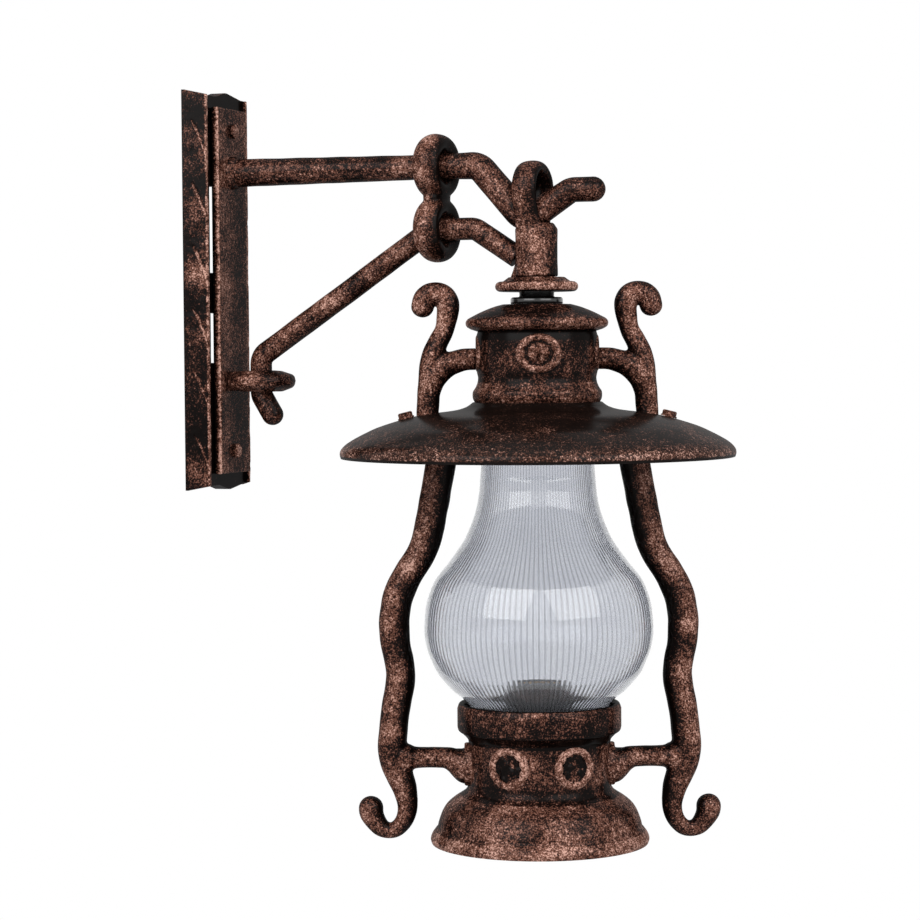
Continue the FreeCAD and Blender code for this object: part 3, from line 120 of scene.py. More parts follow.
def antique_copper(name, tones, amount=0.0, grain=820, coat=0.12, gloss=0.46, sprayed_and_shaded=True):
    """Copper flecks sprayed over a dark ground, under a thin coat. The piece's own spray-and-shade value thins
    them and also carries painted shade and painted highlight.
    """
    finish, tree, place = new_finish(name)
    fleck = blotches(tree, place, grain, 2, 0.6)
    clump = blotches(tree, place, grain * 0.36, 2, 0.5)
    cloud = blotches(tree, place, grain * 0.07, 2, 0.5)
    level = reckon(tree, "MULTIPLY_ADD", clump, 0.45, fleck)
    level = reckon(tree, "MULTIPLY_ADD", cloud, 0.35, level)
    level = reckon(tree, "ADD", level, amount - 0.90)
    # The stored value sets how much copper shows, and also carries painted shade and painted highlight.
    if sprayed_and_shaded:
        spray_and_shade = added(tree, "ShaderNodeAttribute", attribute_name="spray_and_shade").outputs["Fac"]
        level = reckon(tree, "MULTIPLY_ADD", spray_and_shade, 0.36, reckon(tree, "SUBTRACT", level, 0.25))
    ground, brown, copper, light = tones
    brown_share = eased(tree, level, -0.10, 0.00)
    copper_share = eased(tree, level, 0.00, 0.10)
    light_share = eased(tree, level, 0.14, 0.31)
    colour = blended(tree, brown_share, ground, brown)
    colour = blended(tree, copper_share, colour, copper)
    colour = blended(tree, light_share, colour, light)
    relief = reckon(tree, "MULTIPLY_ADD", clump, 1.2, fleck)
    wired(tree, tree.nodes["Principled BSDF"], {
        "Base Color": colour, "Metallic": reckon(tree, "MULTIPLY", copper_share, 0.12),
        "Roughness": reckon(tree, "MULTIPLY_ADD", copper_share, 0.10, gloss), "Specular IOR Level": 0.0,
        "Coat Weight": coat, "Coat Roughness": 0.22, "Normal": bumped(tree, relief, 0.30, 0.0004)})
    return finish


def plain_metal(name, colour, metallic, low, high, grain=260, coat=0.0):
    """A metal or plastic with slight change of tone, wear and roughness."""
    finish, tree, place = new_finish(name)
    wear = blotches(tree, place, grain, 4, 0.6)
    deep = tuple(c * 0.62 for c in colour[:3]) + (1.0,)
    spread = added(tree, "ShaderNodeMapRange", {"Value": wear, "To Min": low, "To Max": high})
    wired(tree, tree.nodes["Principled BSDF"], {
        "Base Color": blended(tree, eased(tree, wear, 0.35, 0.65), deep, colour), "Metallic": metallic,
        "Roughness": spread.outputs["Result"], "Coat Weight": coat, "Normal": bumped(tree, wear, 0.15, 0.0003)})
    return finish


def growth_tree(name, inputs, output):
    """A Geometry Nodes tree with inputs and an output, its given sockets and its last node."""
    tree = bpy.data.node_groups.new(name, "GeometryNodeTree")
    for label, kind in inputs:
        tree.interface.new_socket(label, in_out="INPUT", socket_type="NodeSocket" + kind)
    tree.interface.new_socket(output, in_out="OUTPUT", socket_type="NodeSocketGeometry")
    return tree, tree.nodes.new("NodeGroupInput").outputs, tree.nodes.new("NodeGroupOutput")


def with_finish(tree, shape, given, out):
    """Ends a tree: real geometry in the given finish."""
    real = added(tree, "GeometryNodeRealizeInstances", {0: shape}).outputs[0]
    coat = added(tree, "GeometryNodeSetMaterial", {"Geometry": real, "Material": given["Finish"]})
    tree.links.new(coat.outputs[0], out.inputs[0])
    return tree


def hex_bolt_tree(name):
    """Hexagon bolts on given points: a six-sided drum with a chamfered crown, and a round shank below it."""
    inputs = [("Points", "Geometry"), ("Heading", "Vector"), ("Corner radius", "Float"),
              ("Head height", "Float"), ("Shank radius", "Float"), ("Shank length", "Float"),
              ("Finish", "Material")]
    tree, given, out = growth_tree(name, inputs, "Bolts")
    drum_share, crown_share, crown_top = 0.78, 0.22, 0.86

    def times(value, share):
        return reckon(tree, "MULTIPLY", given[value], share)

    def raised(mesh, height):
        rise = added(tree, "ShaderNodeCombineXYZ", {"Z": height}).outputs[0]
        return added(tree, "GeometryNodeTransform", {"Geometry": mesh, "Translation": rise}).outputs[0]

    def cone(top, tall):
        return added(tree, "GeometryNodeMeshCone", {
            "Vertices": 6, "Radius Bottom": times("Corner radius", 1.0),
            "Radius Top": times("Corner radius", top), "Depth": times("Head height", tall)}).outputs["Mesh"]

    drum, crown = cone(1.0, drum_share), cone(crown_top, crown_share)
    shank = added(tree, "GeometryNodeMeshCylinder", {"Vertices": 32, "Radius": given["Shank radius"],
                                                     "Depth": given["Shank length"]}).outputs["Mesh"]
    both = tree.nodes.new("GeometryNodeJoinGeometry")
    parts = drum, raised(crown, times("Head height", drum_share)), raised(shank, times("Shank length", -0.5))
    for part in parts:
        tree.links.new(part, both.inputs[0])
    weld = added(tree, "GeometryNodeMergeByDistance", {"Geometry": both.outputs[0], "Distance": 0.00001})
    standing = added(tree, "FunctionNodeAlignEulerToVector", {"Vector": given["Heading"]}, axis="Z")
    spread = added(tree, "GeometryNodeInstanceOnPoints", {
        "Points": given["Points"], "Instance": weld.outputs[0], "Rotation": standing.outputs[0]})
    return with_finish(tree, spread.outputs[0], given, out)


def rib_tree(name):
    """Presses upright ribs into the inside of a turned shell and notes how deep each point lies."""
    inputs = [("Shell", "Geometry"), ("Rib count", "Float"), ("Rib depth", "Float"), ("Finish", "Material")]
    tree, given, out = growth_tree(name, inputs, "Ribbed shell")
    place = added(tree, "GeometryNodeInputPosition").outputs[0]
    parts = added(tree, "ShaderNodeSeparateXYZ", {0: place}).outputs
    wave = reckon(tree, "MULTIPLY", reckon(tree, "ARCTAN2", parts["Y"], parts["X"]), given["Rib count"])
    groove = reckon(tree, "MULTIPLY_ADD", reckon(tree, "COSINE", wave), -0.5, 0.5)
    inside = added(tree, "GeometryNodeInputNamedAttribute", {"Name": "inside"},
                   data_type="FLOAT").outputs["Attribute"]
    groove = reckon(tree, "MULTIPLY", reckon(tree, "POWER", groove, 1.6), inside)
    depth = reckon(tree, "MULTIPLY", reckon(tree, "MULTIPLY", groove, given["Rib depth"]), -1.0)
    normal = added(tree, "GeometryNodeInputNormal").outputs[0]
    push = added(tree, "ShaderNodeVectorMath", {0: normal, "Scale": depth}, operation="SCALE").outputs[0]
    note = added(tree, "GeometryNodeStoreNamedAttribute", {"Geometry": given["Shell"], "Name": "groove"},
                 data_type="FLOAT", domain="POINT")
    wired(tree, note, {"Value": groove})
    move = added(tree, "GeometryNodeSetPosition", {"Geometry": note.outputs[0], "Offset": push})
    return with_finish(tree, move.outputs[0], given, out)


# Mesh helpers: lines, shells, castings, and putting a finished piece in its place.


def as_mesh(shape, name):
    mesh = bpy.data.meshes.new(name)
    shape.to_mesh(mesh)
    shape.free()
    return mesh


def grown(tree, seed_mesh, **settings):
    """Runs a Geometry Nodes tree on a seed mesh and returns the result as a plain mesh."""
    carrier = bpy.data.objects.new("carrier", seed_mesh)
    scene.collection.objects.link(carrier)
    growth = carrier.modifiers.new("growth", "NODES")
    growth.node_group = tree
    for socket in tree.interface.items_tree:
        if socket.item_type == "SOCKET" and socket.in_out == "INPUT" and socket.name in settings:
            growth[socket.identifier] = settings[socket.name]
    seen = carrier.evaluated_get(bpy.context.evaluated_depsgraph_get())
    mesh = bpy.data.meshes.new_from_object(seen)
    carrier.modifiers.remove(growth)
    bpy.data.objects.remove(carrier)
    return mesh


def fitted(mesh, name, body, slot, finish, *stands_for):
    """Puts a finished mesh in place on its body, with its finish and the CAD nodes that it stands for."""
    piece = bpy.data.objects.new(name, mesh)
    scene.collection.objects.link(piece)
    mesh.name = name
    mesh.materials.clear()
    mesh.materials.append(finish)
    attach(piece, body)
    if stands_for:
        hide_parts(*stands_for)
    return piece


def dressed(finish, *names):
    """Gives the CAD nodes that stay their finish."""
    for name in names:
        nodes[name].data.materials.clear()
        nodes[name].data.materials.append(finish)


def smoothed(mesh, angle=35):
    """Soft shading with crisp edges over an angle."""
    mesh.shade_smooth()
    mesh.set_sharp_from_angle(angle=math.radians(angle))
    return mesh


def with_spray_and_shade(mesh, value_at):
    """Stores how much copper each point shows, from its place and its normal; the same value carries painted
    shade and painted highlight.
    """
    spray_and_shade = mesh.attributes.new("spray_and_shade", "FLOAT", "POINT")
    for corner in mesh.vertices:
        spray_and_shade.data[corner.index].value = value_at(corner.co, corner.normal)
    return mesh


def graded(mesh, value_at, scale, spread):
    """Gives each point that has no spray-and-shade value of its own one from its place and normal, a little
    uneven.
    """
    values = mesh.attributes["spray_and_shade"].data
    for corner in mesh.vertices:
        if values[corner.index].value <= 0.0:
            value = value_at(corner.co, corner.normal)
            values[corner.index].value = value + spread * noise.noise(corner.co * scale)


def along_line(table, value):
    """Height of a line of (place, height) points at a place."""
    for (left, low), (right, high) in zip(table, table[1:]):
        if left <= value <= right:
            return low + (high - low) * (value - left) / (right - left)
    return table[-1][1]


def flowing(points, steps):
    """Points on a smooth line through the given points."""
    places = [Vector(point) for point in points]
    last = len(places) - 1
    line = []
    for index in range(last):
        p0, p1, p2, p3 = (places[min(max(index + step, 0), last)] for step in (-1, 0, 1, 2))
        for k in range(steps):
            t = k / steps
            line.append(tuple(0.5 * (2 * p1 + (p2 - p0) * t + (2 * p0 - 5 * p1 + 4 * p2 - p3) * t * t
                                     + (3 * p1 - p0 - 3 * p2 + p3) * t * t * t)))
    line.append(tuple(points[-1]))
    return line


def from_shares(shares, radius, top, height):
    return [(radius * reach, top - height * drop) for reach, drop in shares]


def inner_line(points, wall):
    """The line inside a wall of even thickness, left of the direction of travel."""
    line = []
    for index, (x, z) in enumerate(points):
        before, after = points[max(index - 1, 0)], points[min(index + 1, len(points) - 1)]
        run = Vector((after[0] - before[0], after[1] - before[1])).normalized()
        line.append((x + run.y * wall, z - run.x * wall))
    return line


def bent_line(points, rounds, step=0.0022):
    """Even points along straight runs with a round bend of its own radius at each inner corner."""
    corners = [Vector((x, 0, z)) for x, z in points]
    path = [corners[0]]
    for before, corner, after, size in zip(corners, corners[1:], corners[2:], rounds):
        inward, onward = (corner - before).normalized(), (after - corner).normalized()
        angle = inward.angle(onward)
        trim = size * math.tan(angle / 2)
        centre = corner + (onward - inward).normalized() * size / math.cos(angle / 2)
        start, end = corner - inward * trim, corner + onward * trim
        path.append(start)
        spokes = (start - centre).normalized(), (end - centre).normalized()
        for share in range(1, 8):
            path.append(centre + spokes[0].slerp(spokes[1], share / 8) * size)
        path.append(end)
    path.append(corners[-1])
    even = [path[0]]
    for start, end in zip(path, path[1:]):
        pieces = max(1, round((end - start).length / step))
        even += [start.lerp(end, (k + 1) / pieces) for k in range(pieces)]
    return even


def skinned(shape, rings, closed=False, capped=False):
    """Faces between each ring of points and the next; the last meets the first, or the ends are capped."""
    for ring, following in zip(rings, rings[1:] + rings[:1] if closed else rings[1:]):
        for k in range(len(ring)):
            after = (k + 1) % len(ring)
            shape.faces.new((ring[k], ring[after], following[after], following[k]))
    if capped:
        shape.faces.new(list(reversed(rings[0])))
        shape.faces.new(rings[-1])
    bmesh.ops.recalc_face_normals(shape, faces=shape.faces)
    return shape


def swept_bar(path, girths, sides=40, closed_ends=(True, True)):
    """Round bar along a path in the bracket's plane, with a radius at each point and domed ends."""
    dome_angles = (0.22, 0.45, 0.7, 0.95, 1.2, 1.45)

    def dome(end, before, girth):
        away = (end - before).normalized()
        return [(end + away * girth * math.sin(a), girth * math.cos(a)) for a in dome_angles]

    stations = list(zip(path, girths))
    if closed_ends[0]:
        stations = dome(path[0], path[1], girths[0])[::-1] + stations
    if closed_ends[1]:
        stations += dome(path[-1], path[-2], girths[-1])
    bar = bmesh.new()
    rings = []
    for index, (place, girth) in enumerate(stations):
        heading = (stations[min(index + 1, len(stations) - 1)][0] - stations[max(index - 1, 0)][0]).normalized()
        up = Vector((0, 1, 0)).cross(heading).normalized()
        ring = []
        for side in range(sides):
            angle = 2 * math.pi * side / sides
            ring.append(bar.verts.new(place + Vector((0, 1, 0)) * girth * math.cos(angle)
                                      + up * girth * math.sin(angle)))
        rings.append(ring)
    return skinned(bar, rings, capped=True)


def box_shape(size, middle):
    """Plain block."""
    block = bmesh.new()
    bmesh.ops.create_cube(block, size=1.0)
    bmesh.ops.scale(block, verts=block.verts, vec=size)
    bmesh.ops.translate(block, verts=block.verts, vec=middle)
    return block


def turned_shape(outline, sides, centre=(0.0, 0.0)):
    """Closed or open shell of revolution about an upright axis, from (radius, height) points."""
    shape = bmesh.new()
    rings = []
    for radius, height in outline:
        if radius < 1e-6:
            rings.append([shape.verts.new((centre[0], centre[1], height))])
            continue
        rings.append([shape.verts.new((centre[0] + radius * math.cos(2 * math.pi * side / sides),
                                       centre[1] + radius * math.sin(2 * math.pi * side / sides), height))
                      for side in range(sides)])
    for ring, following in zip(rings, rings[1:]):
        for side in range(sides):
            after = (side + 1) % sides
            corners = [ring[side % len(ring)], ring[after % len(ring)], following[after % len(following)],
                       following[side % len(following)]]
            corners = [c for k, c in enumerate(corners) if c not in corners[:k]]
            if len(corners) > 2:
                shape.faces.new(corners)
    bmesh.ops.recalc_face_normals(shape, faces=shape.faces)
    return shape


def facing_ring(radius, along, across, flat=1.0, notches=0, deep=0.0, sides=72, around=20):
    """Ring about the X axis: thick by along and, on X, by across, flattened upright, notched inside."""
    shape = bmesh.new()
    loops = []
    for side in range(sides):
        angle = 2 * math.pi * side / sides
        out = Vector((0, math.cos(angle), math.sin(angle) * flat))
        loop = []
        for k in range(around):
            turned = 2 * math.pi * k / around
            cut = deep * max(0.0, math.cos(notches * angle)) ** 2 * max(0.0, -math.cos(turned))
            loop.append(shape.verts.new(out * (radius + (along - cut) * math.cos(turned))
                                        + Vector(((across - cut) * math.sin(turned), 0, 0))))
        loops.append(loop)
    return skinned(shape, loops, closed=True)


def rough_boss(radius, tall, roughness, seed, petals=0.0, sides=40, rings=9):
    """Low lumpy boss that faces along X, with five hollows of a given depth between its petals."""
    shape = bmesh.new()
    centre = shape.verts.new((tall, 0, 0))
    loops = []
    for ring in range(1, rings + 1):
        share = ring / rings
        loop = []
        for side in range(sides):
            angle = 2 * math.pi * side / sides
            rise = tall * (1 - share ** 3) - (0.003 if ring == rings else 0)
            spot = Vector((math.cos(angle) * share * 3, math.sin(angle) * share * 3, seed))
            lump = noise.noise(spot) * roughness
            lump -= petals * math.sin(math.pi * share) * (0.5 - 0.5 * math.cos(5 * angle))
            reach = radius * share
            loop.append(shape.verts.new((rise + lump, reach * math.cos(angle), reach * math.sin(angle))))
        loops.append(loop)
    for side in range(sides):
        shape.faces.new((centre, loops[0][side], loops[0][(side + 1) % sides]))
    return skinned(shape, loops)


def assembled(shapes, name):
    """One mesh of several shapes, each a (bmesh, matrix) pair, with a spray-and-shade value for each."""
    whole = bmesh.new()
    layer = whole.verts.layers.float.new("spray_and_shade")
    for shape, matrix, value in shapes:
        mesh = as_mesh(shape, "part")
        mesh.transform(matrix)
        start = len(whole.verts)
        whole.from_mesh(mesh)
        whole.verts.ensure_lookup_table()
        for corner in whole.verts[start:]:
            corner[layer] = value
        bpy.data.meshes.remove(mesh)
    return as_mesh(whole, name)


def forged(mesh, deep=0.00022, scale=55):
    """Moves each point in a little along its normal, for the uneven face of hand work."""
    moves = [corner.normal * (noise.noise(corner.co * scale) - 0.5) * deep for corner in mesh.vertices]
    for corner, move in zip(mesh.vertices, moves):
        corner.co += move
    return mesh


def melted(meshes, voxel, rounds, name):
    """Joins closed meshes into one skin and softens the corners between them, like cast or welded metal."""
    joined = bmesh.new()
    for mesh in meshes:
        joined.from_mesh(mesh)
    whole = as_mesh(joined, name)
    carrier = bpy.data.objects.new("carrier", whole)
    scene.collection.objects.link(carrier)
    skin = carrier.modifiers.new("skin", "REMESH")
    skin.mode = "VOXEL"
    skin.voxel_size = voxel
    soften = carrier.modifiers.new("soften", "SMOOTH")
    soften.factor = 0.5
    soften.iterations = rounds
    seen = carrier.evaluated_get(bpy.context.evaluated_depsgraph_get())
    result = bpy.data.meshes.new_from_object(seen)
    bpy.data.objects.remove(carrier)
    result.shade_smooth()
    return result


# Studio: a white sweep with two large soft boxes in front of the lantern, left and right.
# Nothing stands behind it, so the bracket and the glass are seen against plain white.
photo_width = 920
lens_px = 2700
camera_turn = math.radians(20)
camera_pitch = math.radians(2.333)
camera_roll = math.radians(-0.42)
camera_place = Vector((0.9664, -2.05135, -0.050))
floor_height = -0.72

eye = bpy.data.objects.new("camera", bpy.data.cameras.new("camera"))
scene.collection.objects.link(eye)
eye.data.sensor_width = 36
eye.data.lens = 36 * lens_px / photo_width
eye.data.clip_end = 60
turn = Matrix.Rotation(camera_turn, 4, "Z") @ Matrix.Rotation(math.radians(90) - camera_pitch, 4, "X")
eye.matrix_world = Matrix.Translation(camera_place) @ turn @ Matrix.Rotation(camera_roll, 4, "Z")
scene.camera = eye

scene.view_settings.view_transform = "Standard"
scene.render.film_transparent = False


world = bpy.data.worlds.new("studio")
scene.world = world
world.use_nodes = True
sky = world.node_tree
ambient = wired(sky, sky.nodes["Background"], {"Color": (0.93, 0.95, 1.0, 1), "Strength": 0.36})
white = added(sky, "ShaderNodeBackground", {"Color": (1, 1, 1, 1), "Strength": 1.0})
backing = seen_as_white(sky, ambient, white)
sky.links.new(backing.outputs[0], sky.nodes["World Output"].inputs["Surface"])

floor_mesh = bpy.data.meshes.new("floor")
floor_corners = (-8, -8), (8, -8), (8, 8), (-8, 8)
floor_mesh.from_pydata([(x, y, floor_height) for x, y in floor_corners], [], [(0, 1, 2, 3)])
floor = bpy.data.objects.new("floor", floor_mesh)
scene.collection.objects.link(floor)
paper = bpy.data.materials.new("floor_paper")
paper.use_nodes = True
matt = wired(paper.node_tree, paper.node_tree.nodes["Principled BSDF"],
             {"Base Color": (0.62, 0.62, 0.62, 1), "Roughness": 0.9})
glow = added(paper.node_tree, "ShaderNodeEmission", {"Color": (1, 1, 1, 1), "Strength": 1.0})
covered = seen_as_white(paper.node_tree, matt, glow)
paper.node_tree.links.new(covered.outputs[0], paper.node_tree.nodes["Material Output"].inputs["Surface"])
floor_mesh.materials.append(paper)

lantern_middle = Vector((0.286, 0.0, -0.20))


def soft_box(name, bearing, rise, distance, wide, tall, power):
    """A soft box at a bearing right of the camera's line and a rise over the level, facing the lantern."""
    heading = math.radians(-90 + 20 + bearing)
    lift = math.radians(rise)
    away = Vector((math.cos(heading) * math.cos(lift), math.sin(heading) * math.cos(lift), math.sin(lift)))
    lamp = bpy.data.lights.new(name, "AREA")
    lamp.shape = "RECTANGLE"
    lamp.size = wide
    lamp.size_y = tall
    lamp.energy = power
    box = bpy.data.objects.new(name, lamp)
    scene.collection.objects.link(box)
    box.location = lantern_middle + away * distance
    box.rotation_euler = (-away).to_track_quat("-Z", "Y").to_euler()


soft_box("left_soft_box", -37, 31, 2.6, 2.1, 2.2, 50)
soft_box("right_soft_box", 39, 31, 2.6, 2.3, 2.2, 46)
soft_box("top_soft_box", 0, 80, 2.2, 1.6, 1.2, 5)


# Wall plate: one casting with two sloping hammered wings, a ridge along each and a sunk floor between them.
# The caster cut pairs of chisel strokes into the wings and left two slots in the floor.
plate_half_width = 0.0535
plate_half_height = 0.1635
plate_ridge_place = 0.040
plate_ridge_inner = 0.0375
plate_edge_depth = 0.0025
plate_ridge_depth = 0.016
plate_floor_depth = 0.0126
plate_end_line = [(-0.0535, 0.0), (-0.040, -0.003), (-0.015, -0.003), (0.005, 0.0018), (0.040, -0.003),
                  (0.0535, 0.0)]
plate_slots = [(-0.060, -0.018), (0.015, 0.088)]
plate_slot_half_width = 0.0287
pocket_half_width = 0.034
pocket_half_height = 0.150
stroke_tops = [0.1385, 0.0873, 0.0361, -0.0151, -0.0663, -0.1175]
stroke_drop = 0.028
stroke_spread = 0.0022
stroke_half_width = 0.0007
stroke_cut = 0.0007
hammer_cut = 0.0005
hammer_grain = 0.00022
pocket_depth = 0.006

copper_tones = (paint(10, 6, 5), paint(46, 27, 22), paint(106, 69, 56), paint(200, 157, 141))
casting_finish = antique_copper("antique_copper_casting", copper_tones)


def plate_front(place):
    if abs(place) >= plate_ridge_place:
        share = (plate_half_width - abs(place)) / (plate_half_width - plate_ridge_place)
        return plate_edge_depth + (plate_ridge_depth - plate_edge_depth) * share
    return plate_ridge_depth if abs(place) >= plate_ridge_inner else plate_floor_depth


def stroke_depth(place, height):
    """How deep the chisel went at a point of a wing, from 0 to 1."""
    deepest = 0.0
    side = -1 if place < 0 else 1
    for top in stroke_tops:
        for line in (0, 1):
            start = Vector((plate_half_width * 0.915 - line * stroke_spread, top - line * 0.004))
            end = Vector((plate_ridge_place, top - stroke_drop - line * 0.002))
            run = end - start
            point = Vector((abs(place), height)) - start
            share = max(0.0, min(1.0, point.dot(run) / run.length_squared))
            gap = (point - run * share).length
            deepest = max(deepest, 1 - gap / stroke_half_width)
    return max(0.0, deepest)


wing_steps = 26
wing_width = plate_half_width - plate_ridge_place
columns = [-plate_half_width + wing_width * i / wing_steps for i in range(wing_steps + 1)]
columns += [-0.0393, -0.0385, -0.0377, -0.03745, -0.0372]
columns += [-plate_slot_half_width - 0.004, -plate_slot_half_width]
columns += [-plate_slot_half_width + plate_slot_half_width * i / 8 for i in range(1, 9)]
columns += [-place for place in reversed(columns[:-1])]
row_count = 320
shell = bmesh.new()
sheets = []
for face in ("front", "back"):
    sheet = []
    for row in range(row_count + 1):
        line = []
        for place in columns:
            reach = -1 + 2 * row / row_count
            height = reach * (plate_half_height + along_line(plate_end_line, place))
            hammer = noise.noise(Vector((place * 90, height * 55, 3.1))) * hammer_cut
            hammer += noise.noise(Vector((place * 260, height * 210, 7.7))) * hammer_grain
            if face == "front":
                depth = plate_front(place)
                if abs(place) > plate_ridge_inner - 0.0002:
                    depth += min(hammer, 0.0) - stroke_cut * stroke_depth(place, height)
                else:
                    depth += min(hammer, 0.0) * 0.5
            else:
                hollow = abs(place) <= pocket_half_width and abs(height) <= pocket_half_height
                depth = pocket_depth if hollow else 0.0
            line.append(shell.verts.new((max(depth, 0.0), place, height)))
        sheet.append(line)
    sheets.append(sheet)
front, back = sheets


def in_slot(row, column):
    height = (-1 + 2 * (row + 0.5) / row_count) * plate_half_height
    middle = (columns[column] + columns[column + 1]) / 2
    return abs(middle) < plate_slot_half_width and any(low < height < top for low, top in plate_slots)


for row in range(row_count):
    for column in range(len(columns) - 1):
        if in_slot(row, column):
            continue
        a, b = (row, column), (row, column + 1)
        c, d = (row + 1, column + 1), (row + 1, column)
        shell.faces.new([front[r][k] for r, k in (a, b, c, d)])
        shell.faces.new([back[r][k] for r, k in (d, c, b, a)])
pairs = {corner: back[r][k] for r, line in enumerate(front) for k, corner in enumerate(line)}
for edge in [e for e in shell.edges if len(e.link_faces) == 1 and e.verts[0] in pairs]:
    first, second = edge.verts
    shell.faces.new([second, first, pairs[first], pairs[second]])
bmesh.ops.delete(shell, geom=[v for v in shell.verts if not v.link_faces], context="VERTS")
bmesh.ops.recalc_face_normals(shell, faces=shell.faces)
plate_mesh = smoothed(as_mesh(shell, "wall_plate"), 40)


def plate_spray_and_shade(place, normal):
    """Copper on the ridges, as rubbed copper and a painted highlight, and in patches on the wings; the sunk
    floor is painted black as shade, and up-facing faces are painted a mid tone, as lit from above.
    """
    if place.x < 0.0065 and normal.x < 0:
        return 0.25
    if normal.z > 0.6:
        return 0.55
    if abs(place.y) > plate_ridge_inner - 0.0003 and place.x > 0.0148:
        return 1.05 + 0.5 * noise.noise(Vector((place.y * 300, place.z * 240, 4.0)))
    if abs(place.y) < plate_ridge_inner:
        return -0.1
    patch = noise.noise(Vector((place.y * 60, place.z * 38, 1.0)))
    return 0.48 + 0.6 * patch + 0.9 * stroke_depth(place.y, place.z)


with_spray_and_shade(plate_mesh, plate_spray_and_shade)
fitted(plate_mesh, "plate_with_hammered_wings", "bracket", "cast_finish", casting_finish, "wall_plate")


# Flat bar that carries both rods: rolled flat steel with its edges dressed, held by two hexagon bolts.
# The bolts run through spacers and the plate's floor into nuts in the pocket.
bar_back = 0.0139
bar_front = 0.0205
bar_half_width = 0.0275
bar_half_height = 0.151
bar_edge = 0.0014
bolt_half_spacing = 0.1325

block = box_shape((bar_front - bar_back, 2 * bar_half_width, 2 * bar_half_height),
                  ((bar_front + bar_back) / 2, 0, 0))
bmesh.ops.bevel(block, geom=list(block.edges), offset=bar_edge, segments=3, profile=0.6, affect="EDGES")
for across, half_span, levels in ((Vector((0, 0, 1)), bar_half_height, 60),
                                  (Vector((0, 1, 0)), bar_half_width, 14)):
    for level in range(1, levels):
        cut = across * (-half_span + 2 * half_span * level / levels)
        bmesh.ops.bisect_plane(block, geom=block.verts[:] + block.edges[:] + block.faces[:], plane_co=cut,
                               plane_no=across)
for corner in block.verts:
    dent = noise.noise(Vector((corner.co.y * 70, corner.co.z * 45, 2.0)))
    corner.co.x -= 0.0003 * max(dent, 0) if corner.co.x > bar_front - bar_edge else 0.0
    corner.co.y += 0.00025 * noise.noise(Vector((1.0, corner.co.z * 60, 5.0))) * (corner.co.y > 0)
    corner.co.y = max(-bar_half_width, min(bar_half_width, corner.co.y))
bar_mesh = smoothed(as_mesh(block, "front_bar"), 60)


def bar_spray_and_shade(place, normal):
    """Front edges are rich in copper; the sides behind them are painted nearly black as shade; the face is a
    dull brown with a darker middle.
    """
    edge = abs(place.y) / bar_half_width
    if edge > 0.955:
        return 1.25 if place.x > bar_front - 0.003 else 0.10
    return 0.60 + 0.16 * edge + 0.30 * noise.noise(Vector((place.y * 30, place.z * 14, 9.0)))


with_spray_and_shade(bar_mesh, bar_spray_and_shade)
fitted(bar_mesh, "flat_bar", "bracket", "cast_finish", casting_finish, "front_bar")


hex_bolts = hex_bolt_tree("hexagon_bolts")
bolt_corner = 0.00577
bolt_head_height = 0.004
bolt_radius = 0.003


def hex_bolts_on(name, places, heading, shank, finish):
    """One mesh of hexagon bolts with their heads on the places, all along one heading."""
    seed = bpy.data.meshes.new(name)
    seed.from_pydata([tuple(place) for place in places], [], [])
    return grown(hex_bolts, seed, **{"Heading": tuple(heading), "Corner radius": bolt_corner,
                                     "Head height": bolt_head_height, "Shank radius": bolt_radius,
                                     "Shank length": shank, "Finish": finish})


bolt_seats = [Vector((bar_front, 0, side * bolt_half_spacing)) for side in (-1, 1)]
bolt_reach = bar_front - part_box("front_bar_bolts")[0].x
bolt_mesh = hex_bolts_on("bar_bolts", bolt_seats, Vector((1, 0, 0)), bolt_reach, casting_finish)
smoothed(bolt_mesh, 20)
with_spray_and_shade(bolt_mesh, lambda place, normal: 1.1 if place.x > bar_front + 0.002 else 0.5)
fitted(bolt_mesh, "bar_bolts", "bracket", "steel_finish", casting_finish, "front_bar_bolts")


zinc_finish = plain_metal("zinc_plate", paint(168, 168, 164), 0.9, 0.25, 0.45)
dressed(zinc_finish, "front_bar_spacers", "front_bar_nuts")


# Rods: the upper rod is a tube that carries the load and the leads; the brace is solid bar. Both are bent hot.
# The upper rod is welded to the bar. The brace stands in an eye on the bar.
rod_height = 0.098
upper_line = [(bar_front, rod_height), (0.2375, rod_height), (0.2773, 0.053), (0.3156, 0.0766),
              (0.3336, 0.0766)]
upper_rounds = [0.014, 0.012, 0.012]
upper_girths = [(bar_front, 0.0117), (0.2005, 0.0100), (0.2375, 0.0113), (0.2773, 0.0118), (0.3156, 0.0100),
                (0.3336, 0.0100)]
brace_line = [(0.0546, -0.1022), (0.0448, -0.086), (0.0448, -0.0544), (0.1966, 0.0474), (0.2345, 0.0474),
              (0.2700, 0.0240)]
brace_rounds = [0.012, 0.012, 0.012, 0.012]
brace_radius = 0.0091
weld_places = (-0.0005, 0.002, 0.005, 0.008)
weld_girths = (0.0138, 0.0133, 0.0122, 0.0108)
weld_roughness = 0.0005


def side_spray_and_shade(place, normal):
    """Faces towards the front and back carry the copper; tops and undersides are painted darker as shade."""
    return 0.34 + 0.44 * abs(normal.y) + 0.30 * noise.noise(place * 34)


